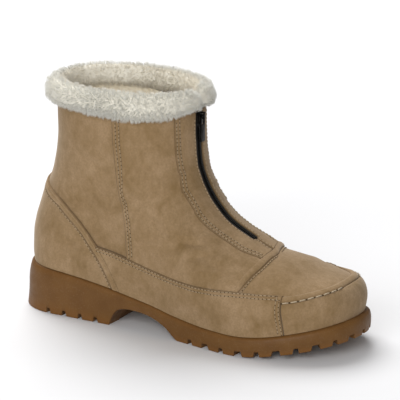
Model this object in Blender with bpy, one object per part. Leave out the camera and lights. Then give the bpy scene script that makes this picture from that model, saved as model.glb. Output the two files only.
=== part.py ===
"""A right-foot suede ankle boot with a fur collar, a front zip and a moulded rubber sole.

Metres, +Z up. The toe points to +X, the outer side of the foot is -Y, and the middle of
the heel's tread is the origin. The upper is one surface worked out from the last's sizes:
rings run from the feather line, where upper and sole meet, to the collar. Every panel on
the upper is cut from a layer laid over that same surface.
"""
import math

import bmesh
import bpy
import numpy as np

# Driving sizes of the last
LAST_LENGTH = 0.285
BALL_WIDTH = 0.100
HEEL_SEAT = 0.036
BALL_SEAT = 0.015
TOE_SPRING = 0.0165
COLLAR_HEIGHT = 0.172
HEEL_CENTRE = 0.038
TOE_DEPTH = 0.070
TOE_SWING = 0.005

# How round the last is: powers of its rounded outline and sides, and the foot's swell above the sole
OUTLINE_POWER = 4
SIDE_POWER = 2.2
FOOT_SWELL = 0.03
SWELL_RISE = 0.12

# Shares of the shaft's rise over which the foot's width turns into the shaft's
FOOT_ENDS = 0.20
SHAFT_STARTS = 0.62

# Shares of the last from which the toe swings in, the toe's sole swells and the heel's sole narrows
SWING_STARTS = 0.66
TOE_ZONE = 0.80
BACK_ZONE = 0.16

# Rings of the surface run on past the outline, and leave the back level, by these shares of the last
RING_OVERRUN = 0.042
BACK_REACH = 0.3
FLAT_LEVELS = 0.34

# Thicknesses and clearances
WALL = 0.0025
SEAM_GAP = 0.0003
QUARTER_THICK = 0.0012
FACING_THICK = 0.0018
FOXING_THICK = 0.0020
COUNTER_THICK = 0.0012
STRIP_THICK = 0.0021
BAND_THICK = 0.0020
TOE_CAP_THICK = 0.0016
TOE_RIM_THICK = 0.0022
PANEL_GAP = 0.0004
SEAM_OVERRUN = 0.12

# How much further back the vamp band runs on the inner side, for each unit away from the middle
BAND_SKEW = 0.35

# Levels between which each piece on the upper lies, so that its layer stops there
COUNTER_HIGH = 0.70
FOXING_HIGH = 0.42
CAP_HIGH = 0.35
RIM_HIGH = 0.42
QUARTER_LOW = 0.15
BAND_LOW = 0.15
BAND_HIGH = 0.70
FACING_LOW = 0.23
ZIP_LOW = 0.40

# Sole
SOLE_MARGIN = 0.0030
TOE_MARGIN = 0.0050
TOE_BULGE = 0.0012
BACK_MARGIN = 0.0030
BACK_FLARE = 0.0036
SIDE_FLARE = 0.0010
WAIST_HEIGHT = 0.55
WAIST_FLARE = 0.4
ARCH_HEIGHT = 0.0156
LUG_DEPTH = 0.0040
LUG_REACH = 0.012
LUG_PITCH = 0.0148
WIDE_NOTCH = 0.0062
NARROW_NOTCH = 0.0040
HEEL_NOTCH = 0.0036
INSOLE_THICK = 0.0030
INSOLE_GAP = 0.0006

# Fur cuff
CUFF_RISE = 0.0128
CUFF_DROP = 0.0085
CUFF_BULGE = 0.0085
CUFF_INSIDE = 0.0080
CUFF_LOCK = 0.0022
CUFF_STATIONS = 55
CUFF_SLIT_DEG = 1.5
CUFF_PUFF = 0.06
PUFF_TURN = 1.7
LOCK_TURN = 2.3
LOCK_BACK = -0.3

# Zip
ZIP_SLOT = 0.0078
CHAIN_WIDTH = 0.0052
CHAIN_PROUD = 0.0012
TAPE_WIDTH = 0.018
TAPE_THICK = 0.0008
SLIDER_WIDTH = 0.0070
SLIDER_LENGTH = 0.0095
SLIDER_THICK = 0.0024
SLIDER_DROP = 0.0055
CROWN_WIDTH = 0.0022
CROWN_LENGTH = 0.0052
CROWN_THICK = 0.0009
PULL_LENGTH = 0.0200
PULL_WIDTH = 0.0058
PULL_THICK = 0.0012
PULL_BAR = 0.00065
PULL_CLEARANCE = 0.0004
WINDOW_ROOM = 0.0002
AXIS_DROP = 0.00208
ZIP_FOLD = 0.012
TAPE_FOLD = 0.020
CHAIN_SHORT = 0.0006
TAPE_LONG = 0.0034
CHAIN_DROP = 0.0017
TAPE_DROP = 0.0051

# Resolution of the upper's surface
TURNS = 48
LEVELS = (0.0, 0.07, 0.14, 0.19, 0.235, 0.28, 0.34, 0.41, 0.48, 0.55,
          0.62, 0.69, 0.77, 0.85, 0.925, 1.0)


def table(names, *rows):
    """Rows of numbers as named columns."""
    return {name: np.array(column) for name, column in zip(names.split(), zip(*rows))}


# Half widths as shares of the ball width, and lifts as shares of the heel's and toe's rise
PLAN = table(
    "x outer inner heel toe",
    (0.00, 0.335, 0.335, 1.00, 0.00),
    (0.105, 0.335, 0.330, 0.95, 0.00),
    (0.21, 0.340, 0.325, 0.82, 0.00),
    (0.315, 0.345, 0.315, 0.61, 0.00),
    (0.42, 0.360, 0.315, 0.37, 0.00),
    (0.525, 0.405, 0.345, 0.13, 0.00),
    (0.62, 0.455, 0.400, 0.02, 0.00),
    (0.70, 0.485, 0.450, 0.00, 0.00),
    (0.76, 0.490, 0.475, 0.00, 0.08),
    (0.83, 0.490, 0.480, 0.00, 0.28),
    (0.90, 0.490, 0.480, 0.00, 0.54),
    (0.96, 0.490, 0.480, 0.00, 0.81),
    (1.00, 0.490, 0.480, 0.00, 1.00),
)

# The line over toe, vamp and shin: x as a share of the last, rise as a share of the shaft
TOP_LINE = table(
    "x rise round",
    (1.000, 0.160, 0.15),
    (0.940, 0.190, 0.18),
    (0.877, 0.220, 0.24),
    (0.790, 0.290, 0.33),
    (0.716, 0.334, 0.38),
    (0.674, 0.372, 0.40),
    (0.625, 0.413, 0.42),
    (0.586, 0.455, 0.43),
    (0.551, 0.515, 0.45),
    (0.529, 0.572, 0.48),
    (0.512, 0.630, 0.52),
    (0.502, 0.690, 0.55),
    (0.497, 0.780, 0.57),
    (0.495, 0.880, 0.58),
    (0.495, 1.120, 0.58),
)

# The line down the back: height as a share from the heel seat to the collar
BACK_LINE = table(
    "height x round",
    (-0.10, 0.025, 0.36),
    (0.00, 0.017, 0.36),
    (0.07, 0.0135, 0.37),
    (0.16, 0.0150, 0.38),
    (0.25, 0.0235, 0.40),
    (0.33, 0.0365, 0.42),
    (0.45, 0.0570, 0.46),
    (0.57, 0.0770, 0.50),
    (0.68, 0.0865, 0.54),
    (0.80, 0.0895, 0.56),
    (0.90, 0.0895, 0.57),
    (1.05, 0.0895, 0.58),
)

TOE_WALL = table(
    "rise x",
    (-0.10, 0.955),
    (0.00, 0.962),
    (0.06, 0.966),
    (0.12, 0.957),
    (0.17, 0.938),
    (0.25, 0.908),
)

SHAFT = table(
    "rise half",
    (0.00, 0.345),
    (0.30, 0.350),
    (0.50, 0.370),
    (0.75, 0.400),
    (1.10, 0.410),
)

# How each ring of the surface runs: where its front lies, how it leaves the front, where its back lies
RINGS = table(
    "level front rise lean reach back",
    (0.00, 0.964, 0.000, 180, 0.30, 0.000),
    (0.08, 0.967, 0.055, 180, 0.30, 0.060),
    (0.16, 0.964, 0.110, 185, 0.26, 0.130),
    (0.22, 0.956, 0.151, 196, 0.20, 0.185),
    (0.27, 0.943, 0.181, 218, 0.13, 0.230),
    (0.33, 0.905, 0.208, 244, 0.10, 0.285),
    (0.41, 0.834, 0.266, 250, 0.10, 0.355),
    (0.50, 0.730, 0.335, 250, 0.10, 0.440),
    (0.59, 0.640, 0.402, 238, 0.13, 0.530),
    (0.68, 0.565, 0.490, 220, 0.17, 0.630),
    (0.78, 0.518, 0.620, 198, 0.25, 0.750),
    (0.89, 0.500, 0.790, 184, 0.30, 0.875),
    (1.00, 0.498, 0.9455, 180, 0.30, 1.000),
)

# Seam lines as seen from the side: x as a share of the last, rise above the feather line
PLACKET_EDGE = table(
    "x rise",
    (0.469, 1.100),
    (0.469, 0.902),
    (0.472, 0.754),
    (0.479, 0.671),
    (0.495, 0.575),
    (0.516, 0.526),
    (0.536, 0.477),
    (0.563, 0.438),
    (0.595, 0.405),
    (0.629, 0.378),
    (0.662, 0.355),
    (0.740, 0.305),
)
SIDE_SEAM = table(
    "x rise",
    (0.322, 1.100),
    (0.323, 0.762),
    (0.329, 0.660),
    (0.336, 0.520),
    (0.349, 0.371),
    (0.356, 0.186),
    (0.358, 0.100),
)
STRIP_TOP = table(
    "x rise",
    (-0.050, 0.500),
    (0.060, 0.430),
    (0.144, 0.379),
    (0.209, 0.293),
    (0.264, 0.190),
    (0.297, 0.120),
    (0.342, -0.030),
)
STRIP_LOW = table(
    "x rise",
    (-0.050, 0.458),
    (0.060, 0.392),
    (0.134, 0.345),
    (0.196, 0.267),
    (0.243, 0.176),
    (0.274, 0.110),
    (0.317, -0.030),
)
FOXING_TOP = table(
    "x rise",
    (0.200, 0.190),
    (0.309, 0.193),
    (0.426, 0.183),
    (0.564, 0.190),
    (0.690, 0.206),
    (0.779, 0.196),
    (0.840, 0.176),
)
TOE_CAP_SEAM = table(
    "x rise",
    (0.826, 0.350),
    (0.829, 0.160),
    (0.838, -0.030),
)
MOC_SEAM = table(
    "x rise",
    (0.780, 0.156),
    (0.873, 0.147),
    (0.927, 0.146),
    (1.050, 0.152),
)
CREASE = table(
    "x rise",
    (0.780, 0.186),
    (0.877, 0.172),
    (0.918, 0.169),
    (0.938, 0.174),
    (0.952, 0.187),
    (0.990, 0.230),
)
BAND_BACK = table(
    "x rise",
    (0.672, 0.150),
    (0.690, 0.206),
    (0.708, 0.267),
    (0.721, 0.315),
    (0.723, 0.334),
    (0.722, 0.360),
    (0.718, 0.450),
)
BAND_FRONT = table(
    "x rise",
    (0.692, 0.150),
    (0.710, 0.206),
    (0.728, 0.267),
    (0.740, 0.304),
    (0.740, 0.326),
    (0.737, 0.360),
    (0.732, 0.450),
)
# The zip's lower end: x as a share of the last, rise as a share of the shaft, and where its cut turns up
ZIP_END = 0.672
ZIP_END_RISE = 0.30
ZIP_KNEE = 0.42

# The arch cut under the sole, height as a share of the arch
ARCH = table(
    "x height",
    (0.298, -0.20),
    (0.302, 0.00),
    (0.327, 0.80),
    (0.345, 0.95),
    (0.370, 1.00),
    (0.401, 0.98),
    (0.431, 0.90),
    (0.462, 0.74),
    (0.490, 0.50),
    (0.512, 0.18),
    (0.522, 0.00),
    (0.528, -0.20),
)
HEEL_NOTCHES = (0.110, 0.160, 0.211, 0.260)
FIRST_NOTCH = 0.563

# The fur's section: out as a share from the wall to the bulge, up as a share of the rise or drop
CUFF_OUTSIDE = table(
    "out up",
    (0.00, -0.90),
    (0.45, -1.10),
    (0.85, -0.70),
    (1.00, -0.05),
    (0.90, 0.45),
    (0.55, 0.85),
)
CUFF_INNER = table(
    "out up",
    (0.15, 1.00),
    (0.60, 0.85),
    (0.95, 0.40),
    (1.00, -0.10),
    (0.60, -0.50),
    (0.00, -0.45),
)
# How far the fur hangs below the collar round the boot, from the zip (0) to the back (180)
CUFF_HEM = table(
    "turn drop",
    (0, 0.05),
    (10, 0.20),
    (20, 0.60),
    (30, 0.82),
    (60, 0.82),
    (80, 0.66),
    (120, 0.55),
    (180, 0.42),
)

SHAFT_RISE = COLLAR_HEIGHT - BALL_SEAT
HALF_GAP = PANEL_GAP / 2

# Well past the boot, for the tools that cut it
PAST_SIDE = 0.9 * BALL_WIDTH
PAST_BACK = -0.35 * LAST_LENGTH
PAST_TOE = 1.05 * LAST_LENGTH
PAST_FLOOR = -0.5 * BALL_WIDTH
PAST_TOP = 2.3 * COLLAR_HEIGHT
LEFT = [(PAST_BACK, 2 * PAST_FLOOR), (PAST_BACK, PAST_TOP)]
RIGHT = [(PAST_TOE, 2 * PAST_FLOOR), (PAST_TOE, PAST_TOP)]


def spline(rows, name, key, at):
    """Monotone cubic through a table's column, straight on past both ends."""
    xs = np.asarray(rows[key], float)
    ys = np.asarray(rows[name], float)
    at = np.asarray(at, float)
    if xs[0] > xs[-1]:
        xs = xs[::-1]
        ys = ys[::-1]
    step = np.diff(xs)
    slope = np.diff(ys) / step
    tangent = np.concatenate([slope[:1], np.zeros(len(xs) - 2), slope[-1:]])
    same_way = slope[:-1] * slope[1:] > 0
    first = 2 * step[1:] + step[:-1]
    second = step[1:] + 2 * step[:-1]
    safe = np.where(same_way, slope[:-1] * slope[1:], 1.0)
    mean = (first + second) * safe / np.where(same_way, first * slope[1:] + second * slope[:-1], 1.0)
    tangent[1:-1] = np.where(same_way, mean, 0.0)
    i = np.clip(np.searchsorted(xs, at) - 1, 0, len(step) - 1)
    t = (at - xs[i]) / step[i]
    s = np.clip(t, 0.0, 1.0)
    value = (1 + 2 * s) * (1 - s) ** 2 * ys[i] + s * s * (3 - 2 * s) * ys[i + 1]
    value = value + step[i] * (s * (1 - s) ** 2 * tangent[i] + s * s * (s - 1) * tangent[i + 1])
    return value + (t - s) * step[i] * np.where(t < 0, tangent[i], tangent[i + 1])


def blend(start, end, value):
    """0 at start and 1 at end, with a soft step between."""
    t = np.clip((value - start) / (end - start), 0, 1)
    return t * t * (3 - 2 * t)


def feather(x):
    """Height of the line where upper and sole meet."""
    share = np.asarray(x) / LAST_LENGTH
    heel = np.clip(spline(PLAN, "heel", "x", share), 0, 1.2)
    return BALL_SEAT + heel * (HEEL_SEAT - BALL_SEAT) + toe_lift(x)


def toe_lift(x):
    """How far the toe stands off the floor."""
    share = np.asarray(x) / LAST_LENGTH
    return TOE_SPRING * np.clip(spline(PLAN, "toe", "x", share), 0, 1.3)


def top_line(count=260):
    """Points of the line over toe, vamp and shin, and the depth of the rounding beside it."""
    rows = dict(TOP_LINE)
    rows["key"] = np.linspace(0, 1, len(TOP_LINE["x"]))
    t = np.linspace(0, 1, count)
    x = spline(rows, "x", "key", t) * LAST_LENGTH
    z = feather(x) + spline(rows, "rise", "key", t) * SHAFT_RISE
    return x, z, spline(rows, "round", "key", t) * BALL_WIDTH


def inside_top(x, z):
    """Distance inside the top line, and the depth of the rounding there."""
    line_x, line_z, depth = top_line()
    shape = x.shape
    x = x.ravel()
    z = z.ravel()
    run_x = np.diff(line_x)
    run_z = np.diff(line_z)
    t = (x[:, None] - line_x[:-1]) * run_x + (z[:, None] - line_z[:-1]) * run_z
    t = np.clip(t / (run_x ** 2 + run_z ** 2), 0, 1)
    away = np.hypot(x[:, None] - line_x[:-1] - t * run_x, z[:, None] - line_z[:-1] - t * run_z)
    k = np.argmin(away, axis=1)
    row = np.arange(len(x))
    side = run_x[k] * (z - line_z[k]) - run_z[k] * (x - line_x[k])
    distance = away[row, k] * np.where(side > 0, 1.0, -1.0)
    t = t[row, k]
    depth = depth[k] * (1 - t) + depth[k + 1] * t
    return distance.reshape(shape), depth.reshape(shape)


def back_line(z):
    """Place of the line down the back at a height, and the depth of the rounding beside it."""
    share = (z - HEEL_SEAT) / (COLLAR_HEIGHT - HEEL_SEAT)
    x = spline(BACK_LINE, "x", "height", share) * LAST_LENGTH
    return x, spline(BACK_LINE, "round", "height", share) * BALL_WIDTH


def toe_wall(z):
    """Place of the front of the toe at a height."""
    base = feather(np.array(TOE_WALL["x"][1] * LAST_LENGTH))
    return spline(TOE_WALL, "x", "rise", (z - base) / SHAFT_RISE) * LAST_LENGTH


def fullness(x, z):
    """1 on the boot's outline seen from the side, less inside it, 0 on its flat sides."""
    distance, depth = inside_top(x, z)
    back, back_depth = back_line(z)
    top = np.maximum(1 - distance / depth, 0)
    toe = np.maximum(1 - (toe_wall(z) - x) / TOE_DEPTH, 0)
    heel = np.maximum(1 - (x - back) / back_depth, 0)
    return (top ** OUTLINE_POWER + toe ** OUTLINE_POWER + heel ** OUTLINE_POWER) ** (1 / OUTLINE_POWER)


def half_width(x, z, name):
    """Distance from the middle to the surface on the outer or inner side."""
    foot = spline(PLAN, name, "x", x / LAST_LENGTH) * BALL_WIDTH
    rise = (z - BALL_SEAT) / SHAFT_RISE
    shaft = spline(SHAFT, "half", "rise", rise) * BALL_WIDTH
    foot = foot * (1 + FOOT_SWELL * blend(0.0, SWELL_RISE, (z - feather(x)) / SHAFT_RISE))
    mix = blend(FOOT_ENDS, SHAFT_STARTS, rise)
    flat = foot * (1 - mix) + shaft * mix
    full = np.clip(fullness(x, z), 0, 1)
    return flat * np.maximum(1 - full ** SIDE_POWER, 0) ** (1 / SIDE_POWER)


def ring_curve(level, share):
    """Side view of a ring: from just behind the back (share 0) to just ahead of the front (1)."""
    front = spline(RINGS, "front", "level", level) * LAST_LENGTH
    front_z = feather(front) + spline(RINGS, "rise", "level", level) * SHAFT_RISE
    lean = np.radians(spline(RINGS, "lean", "level", level))
    reach = spline(RINGS, "reach", "level", level) * LAST_LENGTH
    back_z = HEEL_SEAT + spline(RINGS, "back", "level", level) * (COLLAR_HEIGHT - HEEL_SEAT)
    back, _ = back_line(back_z)
    beyond = RING_OVERRUN * LAST_LENGTH
    ahead = 1 - share
    weights = (ahead ** 3, 3 * share * ahead ** 2, 3 * share ** 2 * ahead, share ** 3)
    xs = (back - beyond, back + BACK_REACH * LAST_LENGTH,
          front + reach * np.cos(lean), front - beyond * np.cos(lean))
    zs = (back_z, back_z, front_z + reach * np.sin(lean), front_z - beyond * np.sin(lean))
    x = sum(w * p for w, p in zip(weights, xs))
    bowed = sum(w * p for w, p in zip(weights, zs))
    level_with_sole = feather(x) + (back_z - feather(back)) * ahead + (front_z - feather(front)) * share
    mix = blend(0.0, FLAT_LEVELS, level)
    return x, level_with_sole * (1 - mix) + bowed * mix


def ring_ends(level):
    """Shares of each ring at which it meets the outline at the back and at the front."""
    share = np.linspace(0, 1, 80)[None, :]
    x, z = ring_curve(level, share)
    inside = fullness(x, z) < 1
    first = np.argmax(inside, axis=1)
    last = inside.shape[1] - 1 - np.argmax(inside[:, ::-1], axis=1)
    share = share[0]
    back = halve(level, share[first - 1], share[first])
    front = halve(level, share[last + 1], share[last])
    return back[:, None], front[:, None]


def halve(level, outside, inside):
    """The share at which a ring crosses the outline, found by halving."""
    for _ in range(24):
        middle = (outside + inside) / 2
        x, z = ring_curve(level[:, 0], middle)
        within = fullness(x, z) < 1
        inside = np.where(within, middle, inside)
        outside = np.where(within, outside, middle)
    return inside


def upper_grid(levels, turns):
    """Points of the upper's surface: a row for each level, round from the front by the outer side."""
    level = np.asarray(levels, float)[:, None]
    back, front = ring_ends(level)
    turn = np.arange(turns) * (2 * math.pi / turns)
    share = back + (front - back) * (1 + np.cos(turn)) / 2
    x, z = ring_curve(level, share)
    outer = np.sin(turn) >= 0
    half = np.where(outer, -half_width(x, z, "outer"), half_width(x, z, "inner"))
    half = np.where(np.abs(np.sin(turn)) < 1e-9, 0.0, half)
    y = half + TOE_SWING * blend(SWING_STARTS, 1.0, x / LAST_LENGTH)
    return np.stack([x - HEEL_CENTRE, y, z], axis=-1)


def grid_normals(points):
    """Outward directions on a grid, level on its first and last rows."""
    along = np.roll(points, -1, axis=1) - np.roll(points, 1, axis=1)
    upward = np.gradient(points, axis=0)
    normal = np.cross(upward, along)
    normal[0, :, 2] = 0
    normal[-1, :, 2] = 0
    return normal / np.linalg.norm(normal, axis=-1, keepdims=True)


BASE = upper_grid(LEVELS, TURNS)
OUTWARD = grid_normals(BASE)


def make_object(name, vertices, faces, material=None):
    """A mesh object with its faces turned outward."""
    mesh = bpy.data.meshes.new(name)
    mesh.from_pydata([tuple(v) for v in vertices], [], faces)
    work = bmesh.new()
    work.from_mesh(mesh)
    bmesh.ops.recalc_face_normals(work, faces=work.faces)
    work.to_mesh(mesh)
    work.free()
    made = bpy.data.objects.new(name, mesh)
    bpy.context.scene.collection.objects.link(made)
    if material is not None:
        mesh.materials.append(material)
        mesh.shade_smooth()
        mesh.set_sharp_from_angle(angle=math.radians(35))
    return made


def cutter(made):
    """Mark an object as one that only cuts."""
    made.hide_render = True
    made.display_type = "WIRE"
    return made


def shape_by(made, tool, operation):
    """Cut an object by a tool, or keep what lies inside the tool."""
    step = made.modifiers.new(operation.lower() + "_" + tool.name, "BOOLEAN")
    step.operation = operation
    step.solver = "EXACT"
    step.object = tool


def material(name, colour, roughness, metallic=0.0):
    """A plain finish."""
    made = bpy.data.materials.new(name)
    made.use_nodes = True
    shader = made.node_tree.nodes["Principled BSDF"]
    shader.inputs["Base Color"].default_value = (*colour, 1.0)
    shader.inputs["Roughness"].default_value = roughness
    shader.inputs["Metallic"].default_value = metallic
    made.diffuse_color = (*colour, 1.0)
    return made


def layer(name, inner, outer, finish, low=0.0, high=1.0):
    """A closed shell between two offsets of the upper's surface, from a low to a high level."""
    rows = [i for i, level in enumerate(LEVELS) if low <= level <= high]
    base = BASE[rows]
    outward = OUTWARD[rows]
    rows = base.shape[0]
    vertices = np.concatenate([(base + outward * offset).reshape(-1, 3) for offset in (outer, inner)])
    faces = []
    for side in range(2):
        start = side * rows * TURNS
        for i in range(rows - 1):
            for j in range(TURNS):
                k = (j + 1) % TURNS
                low_j, low_k = start + i * TURNS + j, start + i * TURNS + k
                high_j, high_k = low_j + TURNS, low_k + TURNS
                faces.append((low_j, low_k, high_k))
                faces.append((low_j, high_k, high_j))
    for i in (0, rows - 1):
        for j in range(TURNS):
            k = (j + 1) % TURNS
            inner_start = rows * TURNS
            faces.append((i * TURNS + j, i * TURNS + k,
                          inner_start + i * TURNS + k, inner_start + i * TURNS + j))
    return make_object(name, vertices, faces, finish)


def seam(rows, count=10):
    """Points of a seam line seen from the side, in world x and z."""
    named = dict(rows)
    steps = np.hypot(np.diff(rows["x"]), np.diff(rows["rise"]))
    named["key"] = np.concatenate([[0], np.cumsum(steps)])
    t = np.linspace(0, named["key"][-1], count)
    x = spline(named, "x", "key", t) * LAST_LENGTH
    z = feather(x) + spline(named, "rise", "key", t) * SHAFT_RISE
    points = [np.array((a - HEEL_CENTRE, b)) for a, b in zip(x, z)]
    return [run_on(points[1], points[0])] + points + [run_on(points[-2], points[-1])]


def run_on(before, end):
    """A point well past a line's end, straight on."""
    return end + (end - before) * (SEAM_OVERRUN / np.linalg.norm(end - before))


def shifted(points, by_x=0.0, by_z=0.0):
    """A line moved sideways or up."""
    return [(x + by_x, z + by_z) for x, z in points]


def crossing(first, second):
    """Parts of two lines up to the point where they cross: its index in each, and the point."""
    for i in range(len(first) - 1):
        for j in range(len(second) - 1):
            a = np.array(first[i])
            b = np.array(first[i + 1]) - a
            c = np.array(second[j])
            d = np.array(second[j + 1]) - c
            cross = b[0] * d[1] - b[1] * d[0]
            if abs(cross) < 1e-15:
                continue
            s = ((c[0] - a[0]) * d[1] - (c[1] - a[1]) * d[0]) / cross
            t = ((c[0] - a[0]) * b[1] - (c[1] - a[1]) * b[0]) / cross
            if 0 <= s <= 1 and 0 <= t <= 1:
                return i, j, tuple(a + b * s)
    raise ValueError("the two seam lines don't cross")


def enclosed(*lines):
    """The outline enclosed by lines that each cross the next, the last crossing the first."""
    count = len(lines)
    outline = []
    for k, line in enumerate(lines):
        start, _, corner = crossing(line, lines[k - 1])
        end, _, _ = crossing(line, lines[(k + 1) % count])
        outline.append(corner)
        if start < end:
            outline.extend(line[start + 1:end + 1])
        else:
            outline.extend(reversed(line[end + 1:start + 1]))
    return outline


def prism(name, outline, low_y=-PAST_SIDE, high_y=PAST_SIDE):
    """An outline seen from the side, drawn across the boot."""
    count = len(outline)
    vertices = [(x, low_y, z) for x, z in outline] + [(x, high_y, z) for x, z in outline]
    faces = [tuple(range(count)), tuple(range(count, 2 * count))]
    faces += [(i, (i + 1) % count, count + (i + 1) % count, count + i) for i in range(count)]
    return cutter(make_object(name, vertices, faces))


def skewed_prism(name, outline):
    """An outline drawn straight across the outer side, and further and further back on the inner side."""
    back = BAND_SKEW * PAST_SIDE
    vertices = [(x, -PAST_SIDE, z) for x, z in outline]
    vertices += [(x, 0, z) for x, z in outline]
    vertices += [(x - back, PAST_SIDE, z) for x, z in outline]
    count = len(outline)
    faces = [tuple(range(count)), tuple(range(2 * count, 3 * count))]
    for start in (0, count):
        for i in range(count):
            k = (i + 1) % count
            faces.append((start + i, start + k, start + count + k, start + count + i))
    return cutter(make_object(name, vertices, faces))


def box_mesh(centre, size, turn=0.0):
    """Corners and faces of a box, turned about Z."""
    cos = math.cos(turn)
    sin = math.sin(turn)
    vertices = []
    for sx, sy, sz in ((-1, -1, -1), (1, -1, -1), (1, 1, -1), (-1, 1, -1),
                       (-1, -1, 1), (1, -1, 1), (1, 1, 1), (-1, 1, 1)):
        x = sx * size[0] / 2
        y = sy * size[1] / 2
        vertices.append((centre[0] + x * cos - y * sin, centre[1] + x * sin + y * cos,
                         centre[2] + sz * size[2] / 2))
    faces = [(0, 3, 2, 1), (4, 5, 6, 7), (0, 1, 5, 4), (1, 2, 6, 5), (2, 3, 7, 6), (3, 0, 4, 7)]
    return vertices, faces


def level_line(height):
    """A level line across the whole boot, seen from the side."""
    return [(3 * PAST_BACK, height), (2 * PAST_TOE, height)]


def add_panels(suede, trim):
    """The leather pieces laid over the upper."""
    inner = SEAM_GAP
    floor = level_line(PAST_FLOOR)
    foxing_low = shifted(seam(FOXING_TOP), by_z=-HALF_GAP)
    foxing_high = shifted(seam(FOXING_TOP), by_z=HALF_GAP)
    strip_front = shifted(seam(STRIP_TOP), by_x=PANEL_GAP)
    strip_back = shifted(seam(STRIP_LOW), by_x=-PANEL_GAP)
    cap_back = shifted(seam(TOE_CAP_SEAM), by_x=-HALF_GAP)
    cap_front = shifted(seam(TOE_CAP_SEAM), by_x=HALF_GAP)
    band_back = shifted(seam(BAND_BACK), by_x=-HALF_GAP)
    ahead = skewed_prism("ahead_of_band", enclosed(band_back, floor, RIGHT, level_line(COLLAR_HEIGHT)))
    placket_back = shifted(seam(PLACKET_EDGE), by_x=-HALF_GAP)
    placket_front = shifted(seam(PLACKET_EDGE), by_x=HALF_GAP)
    moc_low = shifted(seam(MOC_SEAM), by_z=-HALF_GAP)
    moc_high = shifted(seam(MOC_SEAM), by_z=HALF_GAP)
    top = level_line(COLLAR_HEIGHT - 2 * SEAM_GAP)

    counter = layer("heel_counter", inner, inner + COUNTER_THICK, suede, high=COUNTER_HIGH)
    shape_by(counter, prism("counter_cut", enclosed(LEFT, floor, strip_back)), "INTERSECT")

    strip = layer("heel_strip", inner, inner + STRIP_THICK, trim, high=COUNTER_HIGH)
    band = enclosed(LEFT, seam(STRIP_LOW), floor, seam(STRIP_TOP))
    shape_by(strip, prism("strip_cut", band), "INTERSECT")

    for side, low_y, high_y in (("outer", -PAST_SIDE, 0.0), ("inner", 0.0, PAST_SIDE)):
        foxing = layer("foxing_" + side, inner, inner + FOXING_THICK, suede, high=FOXING_HIGH)
        outline = enclosed(strip_front, floor, cap_back, foxing_low)
        shape_by(foxing, prism("foxing_cut_" + side, outline, low_y, high_y), "INTERSECT")

        quarter = layer("quarter_" + side, inner, inner + QUARTER_THICK, suede, low=QUARTER_LOW)
        outline = enclosed(seam(SIDE_SEAM), foxing_high, placket_back, top)
        shape_by(quarter, prism("quarter_cut_" + side, outline, low_y, high_y), "INTERSECT")
        shape_by(quarter, ahead, "DIFFERENCE")

    cap = layer("toe_cap", inner, inner + TOE_CAP_THICK, suede, high=CAP_HIGH)
    shape_by(cap, prism("cap_cut", enclosed(cap_front, floor, RIGHT, moc_low)), "INTERSECT")

    rim = layer("toe_rim", inner, inner + TOE_RIM_THICK, trim, high=RIM_HIGH)
    shape_by(rim, prism("rim_cut", enclosed(cap_front, moc_high, RIGHT, seam(CREASE))), "INTERSECT")

    vamp_band = layer("vamp_band", inner, inner + BAND_THICK, trim, low=BAND_LOW, high=BAND_HIGH)
    band = enclosed(seam(BAND_BACK), floor, seam(BAND_FRONT), level_line(COLLAR_HEIGHT / 2))
    shape_by(vamp_band, skewed_prism("band_cut", band), "INTERSECT")
    below = prism("below_band", enclosed(seam(SIDE_SEAM), floor, RIGHT, foxing_high))
    shape_by(vamp_band, below, "DIFFERENCE")

    facing = layer("zip_facing", inner, inner + FACING_THICK, suede, low=FACING_LOW)
    shape_by(facing, prism("facing_cut", enclosed(placket_front, foxing_high, RIGHT, top)), "INTERSECT")
    shape_by(facing, ahead, "DIFFERENCE")
    return facing


def front_place(z):
    """The front line's x at a height."""
    column = BASE[:, 0]
    return float(np.interp(z, column[:, 2], column[:, 0]))


def add_upper(suede):
    """The hollow upper, open at the collar and under the foot, with a slot for the zip."""
    return layer("upper", -WALL, 0.0, suede)


def zip_outline(end_share, top, back):
    """Side view of the stretch of front line that the zip takes, from end to top."""
    end_x = end_share * LAST_LENGTH - HEEL_CENTRE
    end_z = float(feather(np.array(end_share * LAST_LENGTH))) + ZIP_END_RISE * SHAFT_RISE
    fold_x = front_place(COLLAR_HEIGHT) - back
    knee_z = end_z + ZIP_KNEE * (COLLAR_HEIGHT - end_z)
    return [(end_x, end_z), (end_x, top), (fold_x, top), (fold_x, knee_z)]


def add_zip(upper, facing, tape_finish, metal):
    """Tape, chain, slider and pull, and the slot that they lie in."""
    half = ZIP_SLOT / 2
    slot = prism("zip_slot", zip_outline(ZIP_END, PAST_TOP, ZIP_FOLD), -half, half)
    shape_by(upper, slot, "DIFFERENCE")
    shape_by(facing, slot, "DIFFERENCE")

    chain = layer("zip_chain", -WALL, CHAIN_PROUD, tape_finish, low=ZIP_LOW)
    end = ZIP_END - CHAIN_SHORT / LAST_LENGTH
    outline = zip_outline(end, COLLAR_HEIGHT - CHAIN_DROP, ZIP_FOLD)
    shape_by(chain, prism("chain_cut", outline, -CHAIN_WIDTH / 2, CHAIN_WIDTH / 2), "INTERSECT")

    outside = -WALL - SEAM_GAP
    tape = layer("zip_tape", outside - TAPE_THICK, outside, tape_finish, low=ZIP_LOW)
    end = ZIP_END + TAPE_LONG / LAST_LENGTH
    outline = zip_outline(end, COLLAR_HEIGHT - TAPE_DROP, TAPE_FOLD)
    shape_by(tape, prism("tape_cut", outline, -TAPE_WIDTH / 2, TAPE_WIDTH / 2), "INTERSECT")

    add_slider(metal)


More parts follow.
